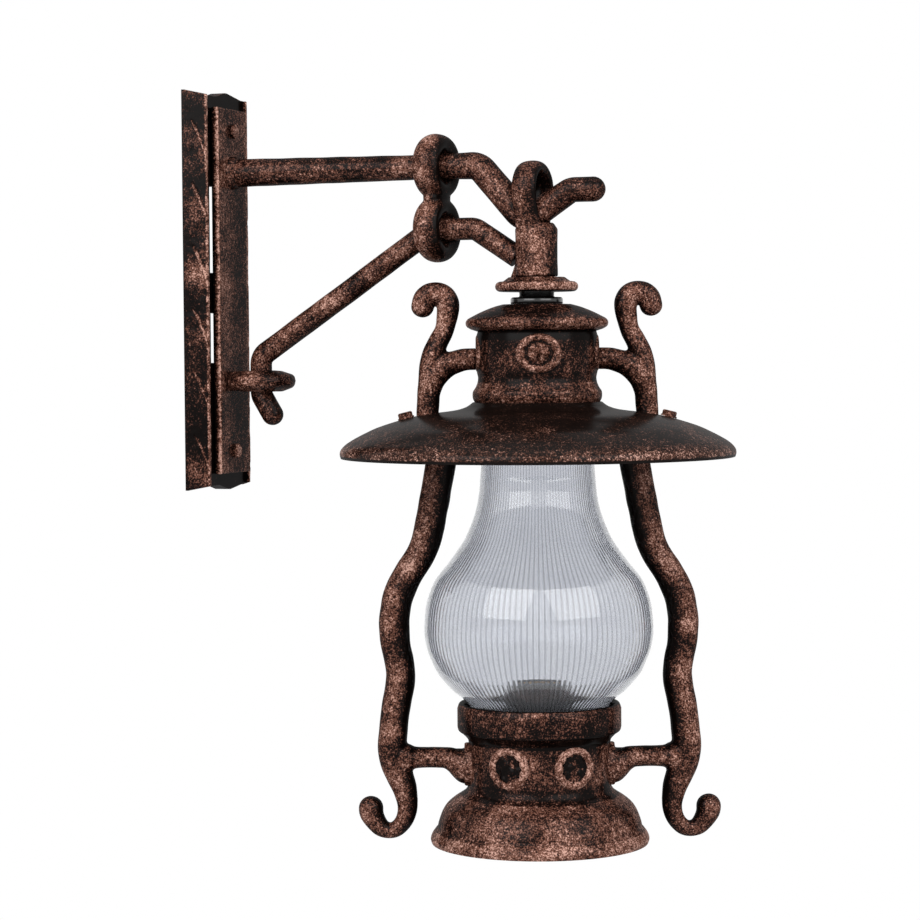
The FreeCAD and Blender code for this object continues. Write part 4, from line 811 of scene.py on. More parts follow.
upper_path = bent_line(upper_line, upper_rounds)
upper_radii = [along_line(upper_girths, place.x) for place in upper_path]
rod_mesh = as_mesh(swept_bar(upper_path, upper_radii, closed_ends=(False, True)), "upper_rod")
weld_path = [Vector((bar_front + out, 0, rod_height)) for out in weld_places]
weld_mesh = as_mesh(swept_bar(weld_path, weld_girths, closed_ends=(False, False)), "rod_weld")
for corner in weld_mesh.vertices:
    corner.co += corner.normal * weld_roughness * noise.noise(corner.co * 420)
rod_parts = bmesh.new()
rod_parts.from_mesh(forged(rod_mesh))
rod_parts.from_mesh(weld_mesh)
rod_mesh = smoothed(as_mesh(rod_parts, "upper_rod"), 60)
with_spray_and_shade(rod_mesh, side_spray_and_shade)
fitted(rod_mesh, "bent_upper_rod", "bracket", "steel_finish", casting_finish, "upper_rod")

brace_path = bent_line(brace_line, brace_rounds)
brace_bar = swept_bar(brace_path, [brace_radius] * len(brace_path), closed_ends=(True, False))
brace_mesh = as_mesh(brace_bar, "brace_rod")
smoothed(forged(brace_mesh), 60)
with_spray_and_shade(brace_mesh, side_spray_and_shade)
fitted(brace_mesh, "bent_brace_rod", "bracket", "steel_finish", casting_finish, "brace_rod")

rubber_finish = plain_metal("black_rubber", paint(26, 26, 26), 0.0, 0.6, 0.8, grain=500)
dressed(rubber_finish, "lead_inlet_grommet")


# Eye of the brace and the two rings: forged loops. The eye is a thick disc on a short neck, welded to the bar.
# The rings are welded to each other at the waist and to the rods.
eye_reach = 0.0448
eye_height = -0.0746
eye_radius = 0.0288
eye_hub_half = 0.00875
eye_rim_half = 0.0045
eye_neck_size = (0.020, 0.021, 0.0165)
ring_reach = 0.2015
ring_radius = 0.0186
ring_half_depth = 0.0116
ring_half_wire = 0.0082
ring_turn = math.radians(-8)
ring_heights = (0.098, 0.0474)
ring_weld_radius = 0.009
ring_weld_half = 0.011

eye_outline = [(0.0, eye_hub_half), (eye_radius * 0.62, eye_hub_half), (eye_radius * 0.9, eye_rim_half * 1.25),
               (eye_radius * 0.97, eye_rim_half * 0.8), (eye_radius, 0.0)]
eye_outline += [(x, -z) for x, z in reversed(eye_outline[:-1])]
disc = turned_shape(eye_outline, 64)
bmesh.ops.translate(disc, verts=disc.verts, vec=(eye_reach, 0, eye_height))
neck = box_shape(eye_neck_size, (bar_front + 0.0095, 0, eye_height))
eye_mesh = melted([as_mesh(disc, "disc"), as_mesh(neck, "neck")], 0.0008, 6, "brace_eye")
for corner in eye_mesh.vertices:
    corner.co.x = max(corner.co.x, bar_front - 0.0002)
forged(eye_mesh, 0.0005, 90)
# Painted shade: faces that don't look towards the front or back are darker.
with_spray_and_shade(eye_mesh, lambda place, normal: 0.55 + 0.45 * abs(normal.y) + 0.4 * noise.noise(place * 60))
fitted(eye_mesh, "brace_foot_eye", "bracket", "steel_finish", casting_finish, "brace_eye")

ring_meshes = []
for height in ring_heights:
    ring = facing_ring(ring_radius, ring_half_wire, ring_half_depth, sides=96, around=32)
    ring_meshes.append(as_mesh(ring, "ring"))
    ring_meshes[-1].transform(Matrix.Translation((0, 0, height)))
waist = bmesh.new()
bmesh.ops.create_uvsphere(waist, u_segments=32, v_segments=16, radius=1.0)
bmesh.ops.scale(waist, verts=waist.verts, vec=(ring_weld_radius, ring_weld_half + 0.006, ring_weld_radius))
bmesh.ops.translate(waist, verts=waist.verts, vec=(0, 0, sum(ring_heights) / 2))
ring_mesh = melted(ring_meshes + [as_mesh(waist, "waist")], 0.0008, 8, "rings")
ring_mesh.transform(Matrix.Translation((ring_reach, 0, 0)) @ Matrix.Rotation(ring_turn, 4, "Z"))
forged(ring_mesh, 0.0003, 80)


def ring_spray_and_shade(place, normal):
    """The near edge of the rings is bright copper; the flat faces towards the lantern are painted almost black
    as shade.
    """
    return 0.84 - 0.85 * max(0.0, normal.x) + 0.15 * abs(normal.y) + 0.2 * noise.noise(place * 50)


with_spray_and_shade(ring_mesh, ring_spray_and_shade)
fitted(ring_mesh, "welded_rings", "bracket", "steel_finish", casting_finish, "upper_ring", "lower_ring")


# Hanger stem: a thick cast post with a teardrop eye on top, which takes the upper rod, and a small rib.
# Under it sit the round flange and the black bush, through which the hollow swivel tube hangs the lantern.
stem_reach = 0.286
stem_radius = 0.0172
stem_top = 0.052
eye_wire = 0.0055
eye_half_depth = 0.0105
eye_loop = 0.0185
eye_top = 0.101
eye_taper = math.radians(17)
eye_leg = 0.028
eye_turn = math.radians(-4)
eye_shift = -0.003
flange_bottom, flange_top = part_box("hanger_flange")[0].z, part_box("hanger_flange")[1].z
flange_radius = 0.0332
tube_bore = 0.0066

loop_centre = eye_top - eye_wire - eye_loop
side_reach = eye_loop * math.cos(eye_taper)
side_level = loop_centre - eye_loop * math.sin(eye_taper)
loop_path = []
for step in range(12):
    share = step / 12
    loop_path.append(Vector((0, -side_reach + eye_leg * (1 - share) * math.sin(eye_taper),
                             side_level - eye_leg * (1 - share) * math.cos(eye_taper))))
for step in range(41):
    angle = math.pi + eye_taper - (math.pi + 2 * eye_taper) * step / 40
    loop_path.append(Vector((0, eye_loop * math.cos(angle), loop_centre + eye_loop * math.sin(angle))))
for step in range(1, 13):
    share = step / 12
    loop_path.append(Vector((0, side_reach - eye_leg * share * math.sin(eye_taper),
                             side_level - eye_leg * share * math.cos(eye_taper))))
loop = bmesh.new()
rings = []
for index, place in enumerate(loop_path):
    heading = (loop_path[min(index + 1, len(loop_path) - 1)] - loop_path[max(index - 1, 0)]).normalized()
    out = heading.cross(Vector((1, 0, 0))).normalized()
    rings.append([loop.verts.new(place + Vector((1, 0, 0)) * eye_half_depth * math.cos(2 * math.pi * k / 32)
                                 + out * eye_wire * math.sin(2 * math.pi * k / 32)) for k in range(32)])
loop_mesh = as_mesh(skinned(loop, rings, capped=True), "eye_loop")
loop_mesh.transform(Matrix.Translation((stem_reach + eye_shift, 0, 0)) @ Matrix.Rotation(eye_turn, 4, "Z"))
post = turned_shape([(0.0, stem_top), (stem_radius * 0.8, stem_top - 0.001), (stem_radius, stem_top - 0.006),
                     (stem_radius, flange_top + 0.0005), (0.0, flange_top + 0.0005)], 64, (stem_reach, 0.0))
rib = bmesh.new()
rib_points = [(-0.012, flange_top), (-stem_radius - 0.0045, flange_top), (-stem_radius, flange_top + 0.012),
              (-0.012, flange_top + 0.012)]
rib_sides = [[rib.verts.new((stem_reach + x, y, z)) for x, z in rib_points] for y in (-0.003, 0.003)]
skinned(rib, rib_sides, capped=True)
stem_mesh = melted([loop_mesh, as_mesh(post, "post"), as_mesh(rib, "rib")], 0.0008, 5, "hanger_stem")
for corner in stem_mesh.vertices:
    corner.co.z = max(corner.co.z, flange_top)
forged(stem_mesh, 0.0004, 80)


def stem_spray_and_shade(place, normal):
    """Bright on the near side of the eye and down the front of the post; the inside of the eye and the eye's
    side facing away from the wall are painted dark as shade.
    """
    from_centre = (Vector((place.y, place.z)) - Vector((0, loop_centre))).length
    if from_centre < eye_loop - 0.001 and place.z > 0.05:
        return 0.25
    lee_shade = max(0.0, normal.x) * (place.z > 0.055)
    return 0.46 + 0.48 * abs(normal.y) - 0.50 * lee_shade + 0.4 * noise.noise(place * 60)


with_spray_and_shade(stem_mesh, stem_spray_and_shade)
fitted(stem_mesh, "stem_with_eye", "bracket", "cast_finish", casting_finish, "hanger_stem")

shoulder = flange_radius - 0.004
edge_height = 0.008
flange_outline = [(tube_bore, flange_top), (0.0225, flange_top),
                  (shoulder - 0.002, flange_bottom + edge_height)]
for step in range(13):
    angle = math.pi / 2 - math.pi * step / 12
    flange_outline.append((shoulder + 0.004 * math.cos(angle), flange_bottom + 0.004 + 0.004 * math.sin(angle)))
flange_outline += [(shoulder - 0.002, flange_bottom), (tube_bore, flange_bottom), (tube_bore, flange_top)]
flange_mesh = smoothed(as_mesh(turned_shape(flange_outline, 128, (stem_reach, 0.0)), "hanger_flange"), 50)
# Painted shade: the flange's underside is darker than its top, and its rounded rim is the lightest.
with_spray_and_shade(flange_mesh, lambda place, normal: 1.10 if abs(normal.z) < 0.75 else (0.7 if normal.z > 0 else 0.3))
fitted(flange_mesh, "stem_flange", "bracket", "cast_finish", casting_finish, "hanger_flange")

black_finish = plain_metal("gloss_black", paint(17, 17, 17), 0.0, 0.16, 0.32, grain=180, coat=0.5)
bush_low, bush_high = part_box("swivel_bush")[0].z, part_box("swivel_bush")[1].z
bush_collar = [(0.0140, 0.0062), (0.0144, 0.0055), (0.0196, 0.0052), (0.0206, 0.0046), (0.0210, 0.0036),
               (0.0210, 0.0006)]
bush_outline = [(tube_bore, bush_high), (0.0140, bush_high)] + [(x, bush_low + z) for x, z in bush_collar]
bush_outline += [(0.0205, bush_low), (tube_bore, bush_low), (tube_bore, bush_high)]
bush_mesh = smoothed(as_mesh(turned_shape(bush_outline, 96, (stem_reach, 0.0)), "swivel_bush"), 40)
fitted(bush_mesh, "black_bush", "bracket", "black_steel", black_finish, "swivel_bush")
dressed(black_finish, "swivel_tube", "swivel_thrust_washer")
dressed(zinc_finish, "swivel_nut", "swivel_lock_nut")


# Top pot: a hollow casting with a low dome, a drum and a bead at its foot.
# The drum has a medallion on each side, with a rough boss in it; the arms' spokes enter the two side ones.
face_turn = math.radians(20)
hang = Matrix.Translation((stem_reach, 0, 0)) @ Matrix.Rotation(face_turn, 4, "Z")
pot_radius = 0.057
pot_bottom, pot_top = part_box("top_pot")[0].z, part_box("top_pot")[1].z
pot_height = pot_top - pot_bottom
pot_bore = 0.0446
pot_foot_bore = 0.041
dome_shares = [(0.480, 0.000), (0.610, 0.026), (0.770, 0.072), (0.900, 0.119), (0.975, 0.151), (1.000, 0.186),
               (0.984, 0.226), (0.925, 0.254)]
drum_shares = [(0.832, 0.276), (0.848, 0.320), (0.858, 0.390), (0.857, 0.560), (0.848, 0.680), (0.830, 0.750),
               (0.842, 0.808)]
bead_shares = [(0.842, 0.808), (0.868, 0.850), (0.905, 0.895), (0.906, 0.955), (0.880, 1.000)]
pot_medallion_drop = 0.500
medallion_radius = 0.0146
medallion_wire = 0.0035
pot_roof_bore = 0.0070

pot_outline = [(pot_roof_bore, pot_top)] + flowing(from_shares(dome_shares, pot_radius, pot_top, pot_height), 6)
pot_outline += flowing(from_shares(drum_shares, pot_radius, pot_top, pot_height), 6)
pot_outline += flowing(from_shares(bead_shares, pot_radius, pot_top, pot_height), 6)[1:]
pot_outline += [(pot_foot_bore, pot_bottom), (pot_foot_bore, pot_bottom + 0.008),
                (pot_bore, pot_bottom + 0.0116), (pot_bore, pot_top - 0.020), (0.027, pot_top - 0.008),
                (pot_roof_bore, pot_top - 0.008), (pot_roof_bore, pot_top)]


def facing(angle, reach, height):
    """Place on an upright round wall, at an angle about the lantern's axis."""
    return Matrix.Rotation(math.radians(angle), 4, "Z") @ Matrix.Translation((reach, 0, height))


pot_wall = pot_radius * 0.853
pot_medallion = pot_top - pot_medallion_drop * pot_height
pot_shapes = [(turned_shape(pot_outline, 192), Matrix.Identity(4), 0.0)]
for angle in (90, 270):
    pot_shapes.append((facing_ring(medallion_radius, medallion_wire, medallion_wire, 0.86, 9, 0.0012),
                       facing(angle, pot_wall - 0.0014, pot_medallion), 1.06))
    pot_shapes.append((rough_boss(0.0092, 0.0044, 0.0014, angle, 0.0034),
                       facing(angle, pot_wall, pot_medallion), 1.0))
for angle in (0, 180):
    pot_shapes.append((facing_ring(medallion_radius, medallion_wire, medallion_wire, 0.86),
                       facing(angle, pot_wall - 0.0030, pot_medallion), 0.9))
pot_mesh = smoothed(assembled(pot_shapes, "top_pot"), 50)
dome_foot = pot_top - 0.175 * pot_height
drum_top = pot_top - 0.262 * pot_height


def pot_spray_and_shade(place, normal):
    """A band under the rim is painted dark as shade; rich on the rim and the bead."""
    z = place.z
    if z > dome_foot:
        return 0.40 + 0.46 * max(0.0, 1 - (z - dome_foot) / 0.004)
    if z > drum_top:
        return 0.85
    if z > drum_top - 0.008:
        return 0.12
    return 0.76 if z < pot_bottom + 0.016 else 0.48


graded(pot_mesh, pot_spray_and_shade, 45, 0.25)
pot_mesh.transform(hang)
fitted(pot_mesh, "pot_with_medallions", "lantern", "cast_finish", casting_finish, "top_pot")


# Shade: a wide bell spun from sheet steel, with a thick rolled rim.
# Its top is smooth dark brown under a glossy coat, with copper flecks only towards the rim.
shade_radius = 0.1584
shade_bottom, shade_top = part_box("shade")[0].z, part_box("shade")[1].z
shade_depth = shade_top - shade_bottom
shade_wall = 0.003
shade_bore = 0.041
shade_lip = 0.0045
shade_shares = [(0.326, 0.000), (0.339, 0.036), (0.361, 0.086), (0.404, 0.136), (0.465, 0.170), (0.537, 0.200),
                (0.606, 0.240), (0.707, 0.330), (0.808, 0.447), (0.869, 0.545), (0.929, 0.657), (0.970, 0.752),
                (0.994, 0.845), (1.000, 0.925), (0.995, 1.000)]

shade_line = flowing(from_shares(shade_shares, shade_radius, shade_top, shade_depth), 8)
under_line = [(x, z) for x, z in inner_line(shade_line[:-18], shade_wall)
              if x < shade_radius - shade_lip and z > shade_bottom + 0.002]
shade_outline = [(shade_bore, shade_top)] + shade_line
shade_outline += [(shade_radius * 0.985, shade_bottom), (shade_radius - shade_lip, shade_bottom + 0.0006),
                  (shade_radius - shade_lip - 0.0008, shade_bottom + 0.003)]
shade_outline += list(reversed(under_line)) + [(shade_bore, shade_top - shade_wall), (shade_bore, shade_top)]
shade_mesh = smoothed(as_mesh(turned_shape(shade_outline, 288), "shade"), 50)
shade_tones = (paint(16, 10, 8), paint(26, 16, 13), paint(76, 48, 38), copper_tones[3])
shade_finish = antique_copper("antique_copper_shade", shade_tones, coat=0.18, gloss=0.42)


def shade_spray(place, normal):
    """Copper thickens down the slope towards the rim; the underside stayed black."""
    reach = math.hypot(place.x, place.y) / shade_radius
    if normal.z < -0.2 or reach < 0.32:
        return -0.2
    slope, rim = max(0.0, (reach - 0.40) / 0.60), max(0.0, (reach - 0.955) / 0.045)
    return 0.15 + 0.44 * slope + 0.26 * rim + 0.22 * noise.noise(place * 24)


with_spray_and_shade(shade_mesh, shade_spray)
shade_mesh.transform(hang)
fitted(shade_mesh, "spun_shade", "lantern", "shade_finish", shade_finish, "shade")


# Arms: four castings. Each upper arm stands on the shade with a scroll at its top and a spoke to the pot.
# Each lower arm hangs under the shade, reaches the base with a spoke and ends in a hook. A screw joins the two.
arm_radius = 0.0124
arm_foot_reach = 0.088
upper_arm_rise = 0.102
scroll_reach = 0.081
scroll_rise = 0.0864
scroll_path_radius = 0.0101
scroll_wire = 0.0094
upper_arm_shares = [(0.815, 0.757, 0.700), (0.842, 0.657, 0.640), (0.895, 0.568, 0.675), (0.940, 0.478, 0.740),
                    (0.963, 0.384, 0.775), (0.976, 0.275, 0.765), (0.988, 0.165, 0.755), (0.996, 0.055, 0.745),
                    (1.000, -0.040, 0.745)]
upper_spoke_radius = 0.0089
upper_spoke_fall = 0.030
upper_spoke_shares = [(0.00, 0.00, 1.00), (0.22, 0.01, 1.02), (0.40, 0.06, 1.06), (0.60, 0.15, 1.14),
                      (0.80, 0.34, 1.20), (0.93, 0.60, 1.16), (1.00, 1.10, 0.88)]
pot_boss_face = 0.0504
upper_spoke_height = pot_top - 0.556 * pot_height
lower_arm_drop = 0.328
lower_arm_reach = 0.1186
lower_arm_shares = [(0.613, 0.000, 1.00), (0.658, 0.124, 1.00), (0.687, 0.183, 1.00), (0.718, 0.241, 1.00),
                    (0.751, 0.298, 0.99), (0.784, 0.330, 0.98), (0.829, 0.359, 0.97), (0.880, 0.388, 0.98),
                    (0.924, 0.417, 1.00), (0.955, 0.448, 1.01), (0.976, 0.490, 1.00), (0.977, 0.524, 1.00),
                    (0.968, 0.564, 0.98), (0.949, 0.596, 0.97), (0.937, 0.630, 0.97), (0.946, 0.666, 0.97),
                    (0.975, 0.725, 0.95), (0.992, 0.777, 0.96), (0.998, 0.820, 0.96), (0.980, 0.854, 0.93),
                    (0.944, 0.886, 0.89), (0.911, 0.920, 0.79), (0.898, 0.956, 0.68), (0.914, 0.987, 0.62),
                    (0.958, 1.009, 0.57), (1.013, 1.018, 0.54), (1.069, 1.012, 0.60), (1.115, 0.994, 0.71),
                    (1.140, 0.976, 0.79), (1.145, 0.962, 0.82)]
lower_spoke_radius = 0.0088
flare_radius = 0.0169
flare_length = 0.009
flare_shares = [(0.00, 1.00, 1.00), (0.20, 0.98, 0.88), (0.60, 0.75, 0.74), (1.20, 0.30, 0.58),
                (1.80, 0.00, 0.52)]
base_boss_face = 0.0604


def shade_level(reach):
    return along_line([(x, z) for x, z in shade_line if x <= shade_radius * 0.9999], reach)


def limb(stations, steps, ends):
    """Round casting through given (x, z, radius) stations."""
    line = flowing(stations, steps)
    path = [Vector((reach, 0, height)) for reach, height, girth in line]
    girths = [girth for reach, height, girth in line]
    return as_mesh(swept_bar(path, girths, sides=36, closed_ends=ends), "limb")


foot_level = shade_level(arm_foot_reach)
scroll_stations = []
for step in range(7):
    angle = math.pi * step / 6
    scroll_stations.append((scroll_reach + scroll_path_radius * math.cos(angle),
                            foot_level + scroll_rise + scroll_path_radius * math.sin(angle), scroll_wire))
upper_column = [(arm_foot_reach * reach, foot_level + upper_arm_rise * rise, arm_radius * girth)
                for reach, rise, girth in upper_arm_shares]
join_level = upper_spoke_height - upper_spoke_fall
join_reach = along_line(sorted((z, x) for x, z, girth in upper_column), join_level)
span = join_reach - pot_boss_face
upper_spoke = [(pot_boss_face - 0.002 + (span + 0.002) * way, upper_spoke_height - upper_spoke_fall * fall,
                upper_spoke_radius * girth) for way, fall, girth in upper_spoke_shares]
upper_limbs = [limb(scroll_stations + upper_column, 5, (True, False)), limb(upper_spoke, 5, (False, False))]
upper_mesh = melted(upper_limbs, 0.0010, 6, "upper_arm")


def arm_spray_and_shade(place, normal):
    """Copper on the front, back and outer sides; the side towards the lantern's axis is painted black as shade.
    """
    outward = 0.30 * max(0.0, normal.x) - 0.45 * max(0.0, -normal.x)
    return 0.27 + 0.60 * abs(normal.y) + outward + 0.30 * noise.noise(place * 50)


forged(upper_mesh, 0.0004, 80)
with_spray_and_shade(upper_mesh, arm_spray_and_shade)

pad_inner, pad_outer, pad_half_width = 0.061, 0.116, 0.011
pad_bottom = shade_top - 0.024
column_top = shade_level(lower_arm_reach * lower_arm_shares[0][0]) - shade_wall
lower_column = [(lower_arm_reach * reach, column_top - lower_arm_drop * drop, arm_radius * girth)
                for reach, drop, girth in lower_arm_shares]
base_bottom, base_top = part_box("base_casting")[0].z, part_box("base_casting")[1].z
base_height = base_top - base_bottom
base_medallion = base_top - 0.410 * base_height
lower_spoke_height = base_medallion + 0.002
base_boss_height = base_medallion - 0.0035
waist_rows = [(z, x) for x, z, girth in lower_column[5:24]]
elbow = along_line(sorted(waist_rows), lower_spoke_height)
lower_spoke = [(base_boss_face - 0.001 + flare_length * way,
                lower_spoke_height + (base_boss_height - lower_spoke_height) * fall, flare_radius * girth)
               for way, fall, girth in flare_shares]
lower_spoke += [(elbow - arm_radius * way, lower_spoke_height, lower_spoke_radius * girth)
                for way, girth in ((1.5, 1.00), (1.0, 1.27), (0.0, 1.30))]
pad = bmesh.new()
pad_rows = []
pad_steps = 12
for step in range(pad_steps + 1):
    reach = pad_inner + (pad_outer - pad_inner) * step / pad_steps
    top = max(shade_level(reach) - shade_wall - 0.0002, pad_bottom + 0.0005)
    pad_rows.append([pad.verts.new((reach, side * pad_half_width, level))
                     for side, level in ((-1, pad_bottom), (1, pad_bottom), (1, top), (-1, top))])
pad_mesh = as_mesh(skinned(pad, pad_rows, capped=True), "pad")
lower_mesh = melted([limb(lower_column, 5, (False, True)), limb(lower_spoke, 5, (False, False)), pad_mesh],
                    0.0011, 5, "lower_arm")
for corner in lower_mesh.vertices:
    reach = math.hypot(corner.co.x, corner.co.y)
    if reach < shade_radius * 0.95:
        corner.co.z = min(corner.co.z, shade_level(reach) - shade_wall - 0.0001)


def lower_arm_spray_and_shade(place, normal):
    """As the upper arms, with a wide strip of painted shade towards the glass, widest under the shade and
    narrowing down the arm.
    """
    share = min(1.0, max(0.0, (column_top - place.z) / lower_arm_drop))
    inward = 0.5 - 0.5 * math.tanh((normal.x + 0.25 + 0.35 * share) * 4)
    return arm_spray_and_shade(place, normal) - (0.75 - 0.55 * share) * inward


forged(lower_mesh, 0.0004, 80)
with_spray_and_shade(lower_mesh, lower_arm_spray_and_shade)


def mirrored_mesh(mesh, name):
    """The same piece on the other side of the lantern."""
    other = bmesh.new()
    other.from_mesh(mesh)
    bmesh.ops.transform(other, matrix=Matrix.Scale(-1, 4, (1, 0, 0)), verts=other.verts)
    bmesh.ops.reverse_faces(other, faces=other.faces)
    return as_mesh(other, name)


for name, mesh, node in (("upper_arm", upper_mesh, "upper_arm"), ("lower_arm", lower_mesh, "lower_arm")):
    left = mirrored_mesh(mesh, name + "_left")
    for side, half in (("right", mesh), ("left", left)):
        half.shade_smooth()
        half.transform(hang)
        fitted(half, name + "_cast_" + side, "lantern", "cast_finish", casting_finish, node + "_" + side)

shade_bolt_circle = 0.105
bolt_tilt = math.atan2(shade_level(0.102) - shade_level(0.108), 0.006)
bolt_heading = Vector((math.sin(bolt_tilt), 0, math.cos(bolt_tilt)))
shade_washer = 0.0012
shade_bolt_length = 0.010
shade_bolt_set = bmesh.new()
for angle in (0, 180):
    seat = Vector((shade_bolt_circle, 0, shade_level(shade_bolt_circle))) + bolt_heading * shade_washer
    bolt = hex_bolts_on("shade_bolt", [seat], bolt_heading, shade_bolt_length + shade_washer, casting_finish)
    bolt.transform(hang @ Matrix.Rotation(math.radians(angle), 4, "Z"))
    shade_bolt_set.from_mesh(bolt)
    bpy.data.meshes.remove(bolt)
shade_bolt_mesh = smoothed(as_mesh(shade_bolt_set, "shade_bolts"), 20)
with_spray_and_shade(shade_bolt_mesh, lambda place, normal: 0.85)
fitted(shade_bolt_mesh, "shade_hexagon_bolts", "lantern", "steel_finish", casting_finish, "shade_bolts")
steel_finish = antique_copper("antique_copper_hardware", copper_tones, amount=0.06, sprayed_and_shaded=False)
dressed(steel_finish, "shade_bolt_washers")
dressed(zinc_finish, "upper_arm_screws", "pot_foot_screws", "upper_spoke_tubes", "upper_spoke_nuts",
        "lower_spoke_tubes", "lower_spoke_nuts")


# Glass: a blown globe with a smooth outside and fine upright ribs all round its inside.
# Three thumb screws in the gallery hold its neck; its foot stands on a seat ring in the base's collar.
glass_bottom, glass_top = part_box("glass_globe")[0].z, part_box("glass_globe")[1].z
glass_radius = 0.092
glass_wall = 0.003
rib_count = 120
rib_depth = 0.0003
glass_shares = [(0.491, 0.000), (0.491, 0.080), (0.495, 0.160), (0.504, 0.200), (0.513, 0.240), (0.543, 0.299),
                (0.600, 0.358), (0.652, 0.398), (0.722, 0.437), (0.800, 0.477), (0.887, 0.517), (0.939, 0.556),
                (0.974, 0.596), (0.991, 0.635), (1.000, 0.685), (0.995, 0.715), (0.974, 0.754), (0.935, 0.793),
                (0.883, 0.833), (0.796, 0.872), (0.743, 0.892), (0.674, 0.912), (0.622, 0.932), (0.598, 0.955),
                (0.589, 0.977), (0.587, 1.000)]

glass_finish, glass_tree, glass_place = new_finish("ribbed_glass")
groove_shade = added(glass_tree, "ShaderNodeAttribute", attribute_name="groove").outputs["Fac"]
haze = blotches(glass_tree, glass_place, 35, 3, 0.5)
tint = blended(glass_tree, eased(glass_tree, haze, 0.3, 0.7), paint(231, 233, 238), paint(235, 237, 241))
# Painted shade: the grooves get a darker tint, standing in for the dark lines that the ribs' refraction shows.
tint = blended(glass_tree, eased(glass_tree, groove_shade, 0.35, 0.95), tint, paint(160, 161, 168))
wired(glass_tree, glass_tree.nodes["Principled BSDF"],
      {"Transmission Weight": 0.94, "IOR": 1.45, "Base Color": tint,
       "Roughness": reckon(glass_tree, "MULTIPLY_ADD", haze, 0.05, 0.01)})

globe_line = flowing(from_shares(glass_shares, glass_radius, glass_top, glass_top - glass_bottom), 3)
globe_inner = inner_line(globe_line, glass_wall)
globe_inner[0] = (globe_line[0][0] - glass_wall, glass_top)
globe_inner[-1] = (globe_line[-1][0] - glass_wall, glass_bottom)
globe = turned_shape(globe_line + list(reversed(globe_inner)) + [globe_line[0]], rib_count * 5)
bmesh.ops.remove_doubles(globe, verts=globe.verts, dist=0.000001)
bmesh.ops.recalc_face_normals(globe, faces=globe.faces)
inside = globe.verts.layers.float.new("inside")
for corner in globe.verts:
    reach = math.hypot(corner.co.x, corner.co.y)
    outer = along_line(sorted((z, x) for x, z in globe_line), corner.co.z)
    corner[inside] = 1.0 if reach < outer - glass_wall * 0.6 and corner.co.z < glass_top - 0.002 else 0.0
globe_mesh = grown(rib_tree("upright_ribs"), as_mesh(globe, "globe"),
                   **{"Rib count": float(rib_count), "Rib depth": rib_depth, "Finish": glass_finish})
globe_mesh.shade_smooth()
globe_mesh.transform(hang)
fitted(globe_mesh, "ribbed_globe", "lantern", "ribbed_glass", glass_finish, "glass_globe")

brass_finish = plain_metal("plain_brass", paint(190, 152, 92), 1.0, 0.25, 0.42)
dressed(black_finish, "glass_gallery")
dressed(brass_finish, "glass_gallery_screws")
dressed(rubber_finish, "glass_neck_seal", "glass_seat_ring")


# Base: one casting with a collar that takes the glass, a waist with medallions and a bell foot.
# Its open underside is closed by a cover plate on a gasket, with three screws into posts.
base_radius = 0.0876
collar_bore = 0.0595
collar_floor = base_top - 0.020
base_bore = 0.0524
base_wall = 0.0045
collar_shares = [(0.690, 0.012), (0.708, 0.000), (0.735, 0.006), (0.752, 0.040)]
collar_foot_shares = [(0.752, 0.168), (0.742, 0.195), (0.706, 0.216), (0.662, 0.252), (0.651, 0.280),
                      (0.648, 0.320)]
bell_shares = [(0.650, 0.530), (0.655, 0.588), (0.680, 0.626), (0.724, 0.653), (0.788, 0.685), (0.848, 0.724),
               (0.887, 0.767), (0.913, 0.814), (0.931, 0.857), (0.938, 0.886)]
lip_shares = [(0.960, 0.905), (0.990, 0.938), (1.004, 0.972), (0.994, 1.000)]
base_medallion_angle = 27.5
base_medallion_radius = 0.0138
base_medallion_wire = 0.0034
cover_recess_radius = 0.0829
spoke_boss_line = [(0.0, 0.0), (0.0174, 0.0), (0.0174, 0.0065), (0.0168, 0.0078), (0.0154, 0.0080),
                   (0.0, 0.0080)]

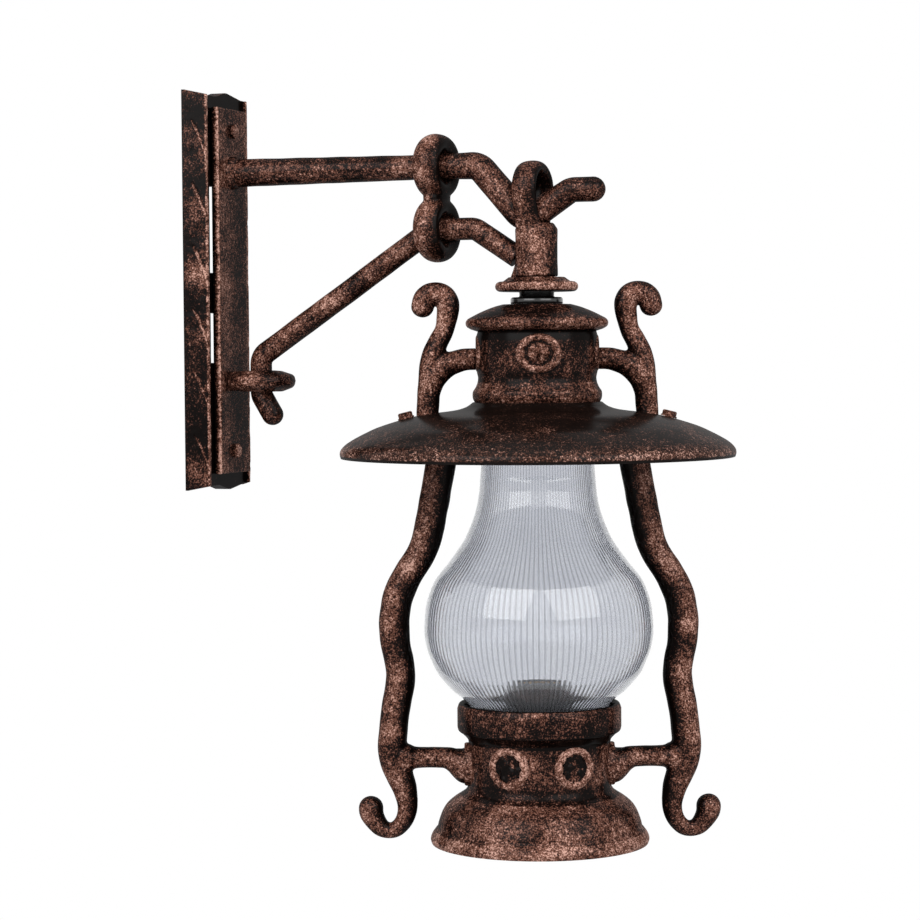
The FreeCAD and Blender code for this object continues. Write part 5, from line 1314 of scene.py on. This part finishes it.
collar, collar_foot, bell, lip = (
    flowing(from_shares(shares, base_radius, base_top, base_height), steps)
    for shares, steps in ((collar_shares, 6), (collar_foot_shares, 6), (bell_shares, 5), (lip_shares, 6)))
bell_inner = inner_line(bell[10:], base_wall)
base_outline = [(collar_bore, collar_floor), (collar_bore, base_top - 0.003)]
base_outline += collar + collar_foot + bell + lip
base_outline += [(cover_recess_radius, base_bottom), (cover_recess_radius, base_bottom + 0.0069),
                 (cover_recess_radius - 0.0035, base_bottom + 0.0069)]
base_outline += list(reversed(bell_inner))
base_outline += [(base_bore, bell_inner[0][1] + base_wall), (base_bore, collar_floor),
                 (collar_bore, collar_floor)]
waist_wall = base_radius * 0.648
base_shapes = [(turned_shape(base_outline, 224), Matrix.Identity(4), 0.0)]
for angle in (90 - base_medallion_angle, 90 + base_medallion_angle, 270 - base_medallion_angle,
              270 + base_medallion_angle):
    ring = facing_ring(base_medallion_radius, base_medallion_wire, base_medallion_wire, 1.0, 11, 0.0014)
    base_shapes.append((ring, facing(angle, waist_wall - 0.0012, base_medallion), 1.14))
    base_shapes.append((rough_boss(0.0118, 0.0006, 0.0018, angle, rings=12),
                        facing(angle, waist_wall, base_medallion), 0.20))
for angle in (0, 180):
    outward = facing(angle, base_bore, base_boss_height) @ Matrix.Rotation(math.radians(90), 4, "Y")
    base_shapes.append((turned_shape(spoke_boss_line, 48), outward, 0.95))
base_mesh = smoothed(assembled(base_shapes, "base_casting"), 50)
foot_top = base_top - 0.55 * base_height
collar_low = base_top - 0.19 * base_height


def base_spray_and_shade(place, normal):
    """Rich on bell and lip, darker on the collar, painted shade in a band under it, black in its bore and
    inside the foot.
    """
    z, reach = place.z, math.hypot(place.x, place.y)
    if reach < cover_recess_radius - 0.004 and z < foot_top - 0.02 and normal.z < 0:
        return 0.1
    if z < base_bottom + 0.010:
        return 1.05
    if z > collar_floor - 0.001 and reach < collar_bore + 0.0015 or normal.z > 0.75 and z > base_top - 0.004:
        return 0.0
    for level, value in ((collar_low, 0.55), (collar_low - 0.010, 0.25), (foot_top, 0.68),
                         (foot_top - 0.012, 0.42)):
        if z > level:
            return value
    return 0.80


graded(base_mesh, base_spray_and_shade, 38, 0.30)
base_mesh.transform(hang)
fitted(base_mesh, "base_with_medallions", "lantern", "cast_finish", casting_finish, "base_casting")
dressed(rubber_finish, "base_cover_gasket")
dressed(black_finish, "base_cover")
dressed(zinc_finish, "base_cover_screws")


# Lampholder: a black moulded holder with a brass screw shell, on a zinc plate across the base's bore.
# The leads end in a terminal block under the plate.
phenolic_finish = plain_metal("black_moulding", paint(30, 30, 29), 0.0, 0.35, 0.55, grain=300)
dressed(zinc_finish, "lampholder_plate", "lampholder_plate_screws", "lampholder_screws")
dressed(phenolic_finish, "lampholder_body", "terminal_block")
dressed(brass_finish, "lampholder_screw_shell", "lampholder_contact")
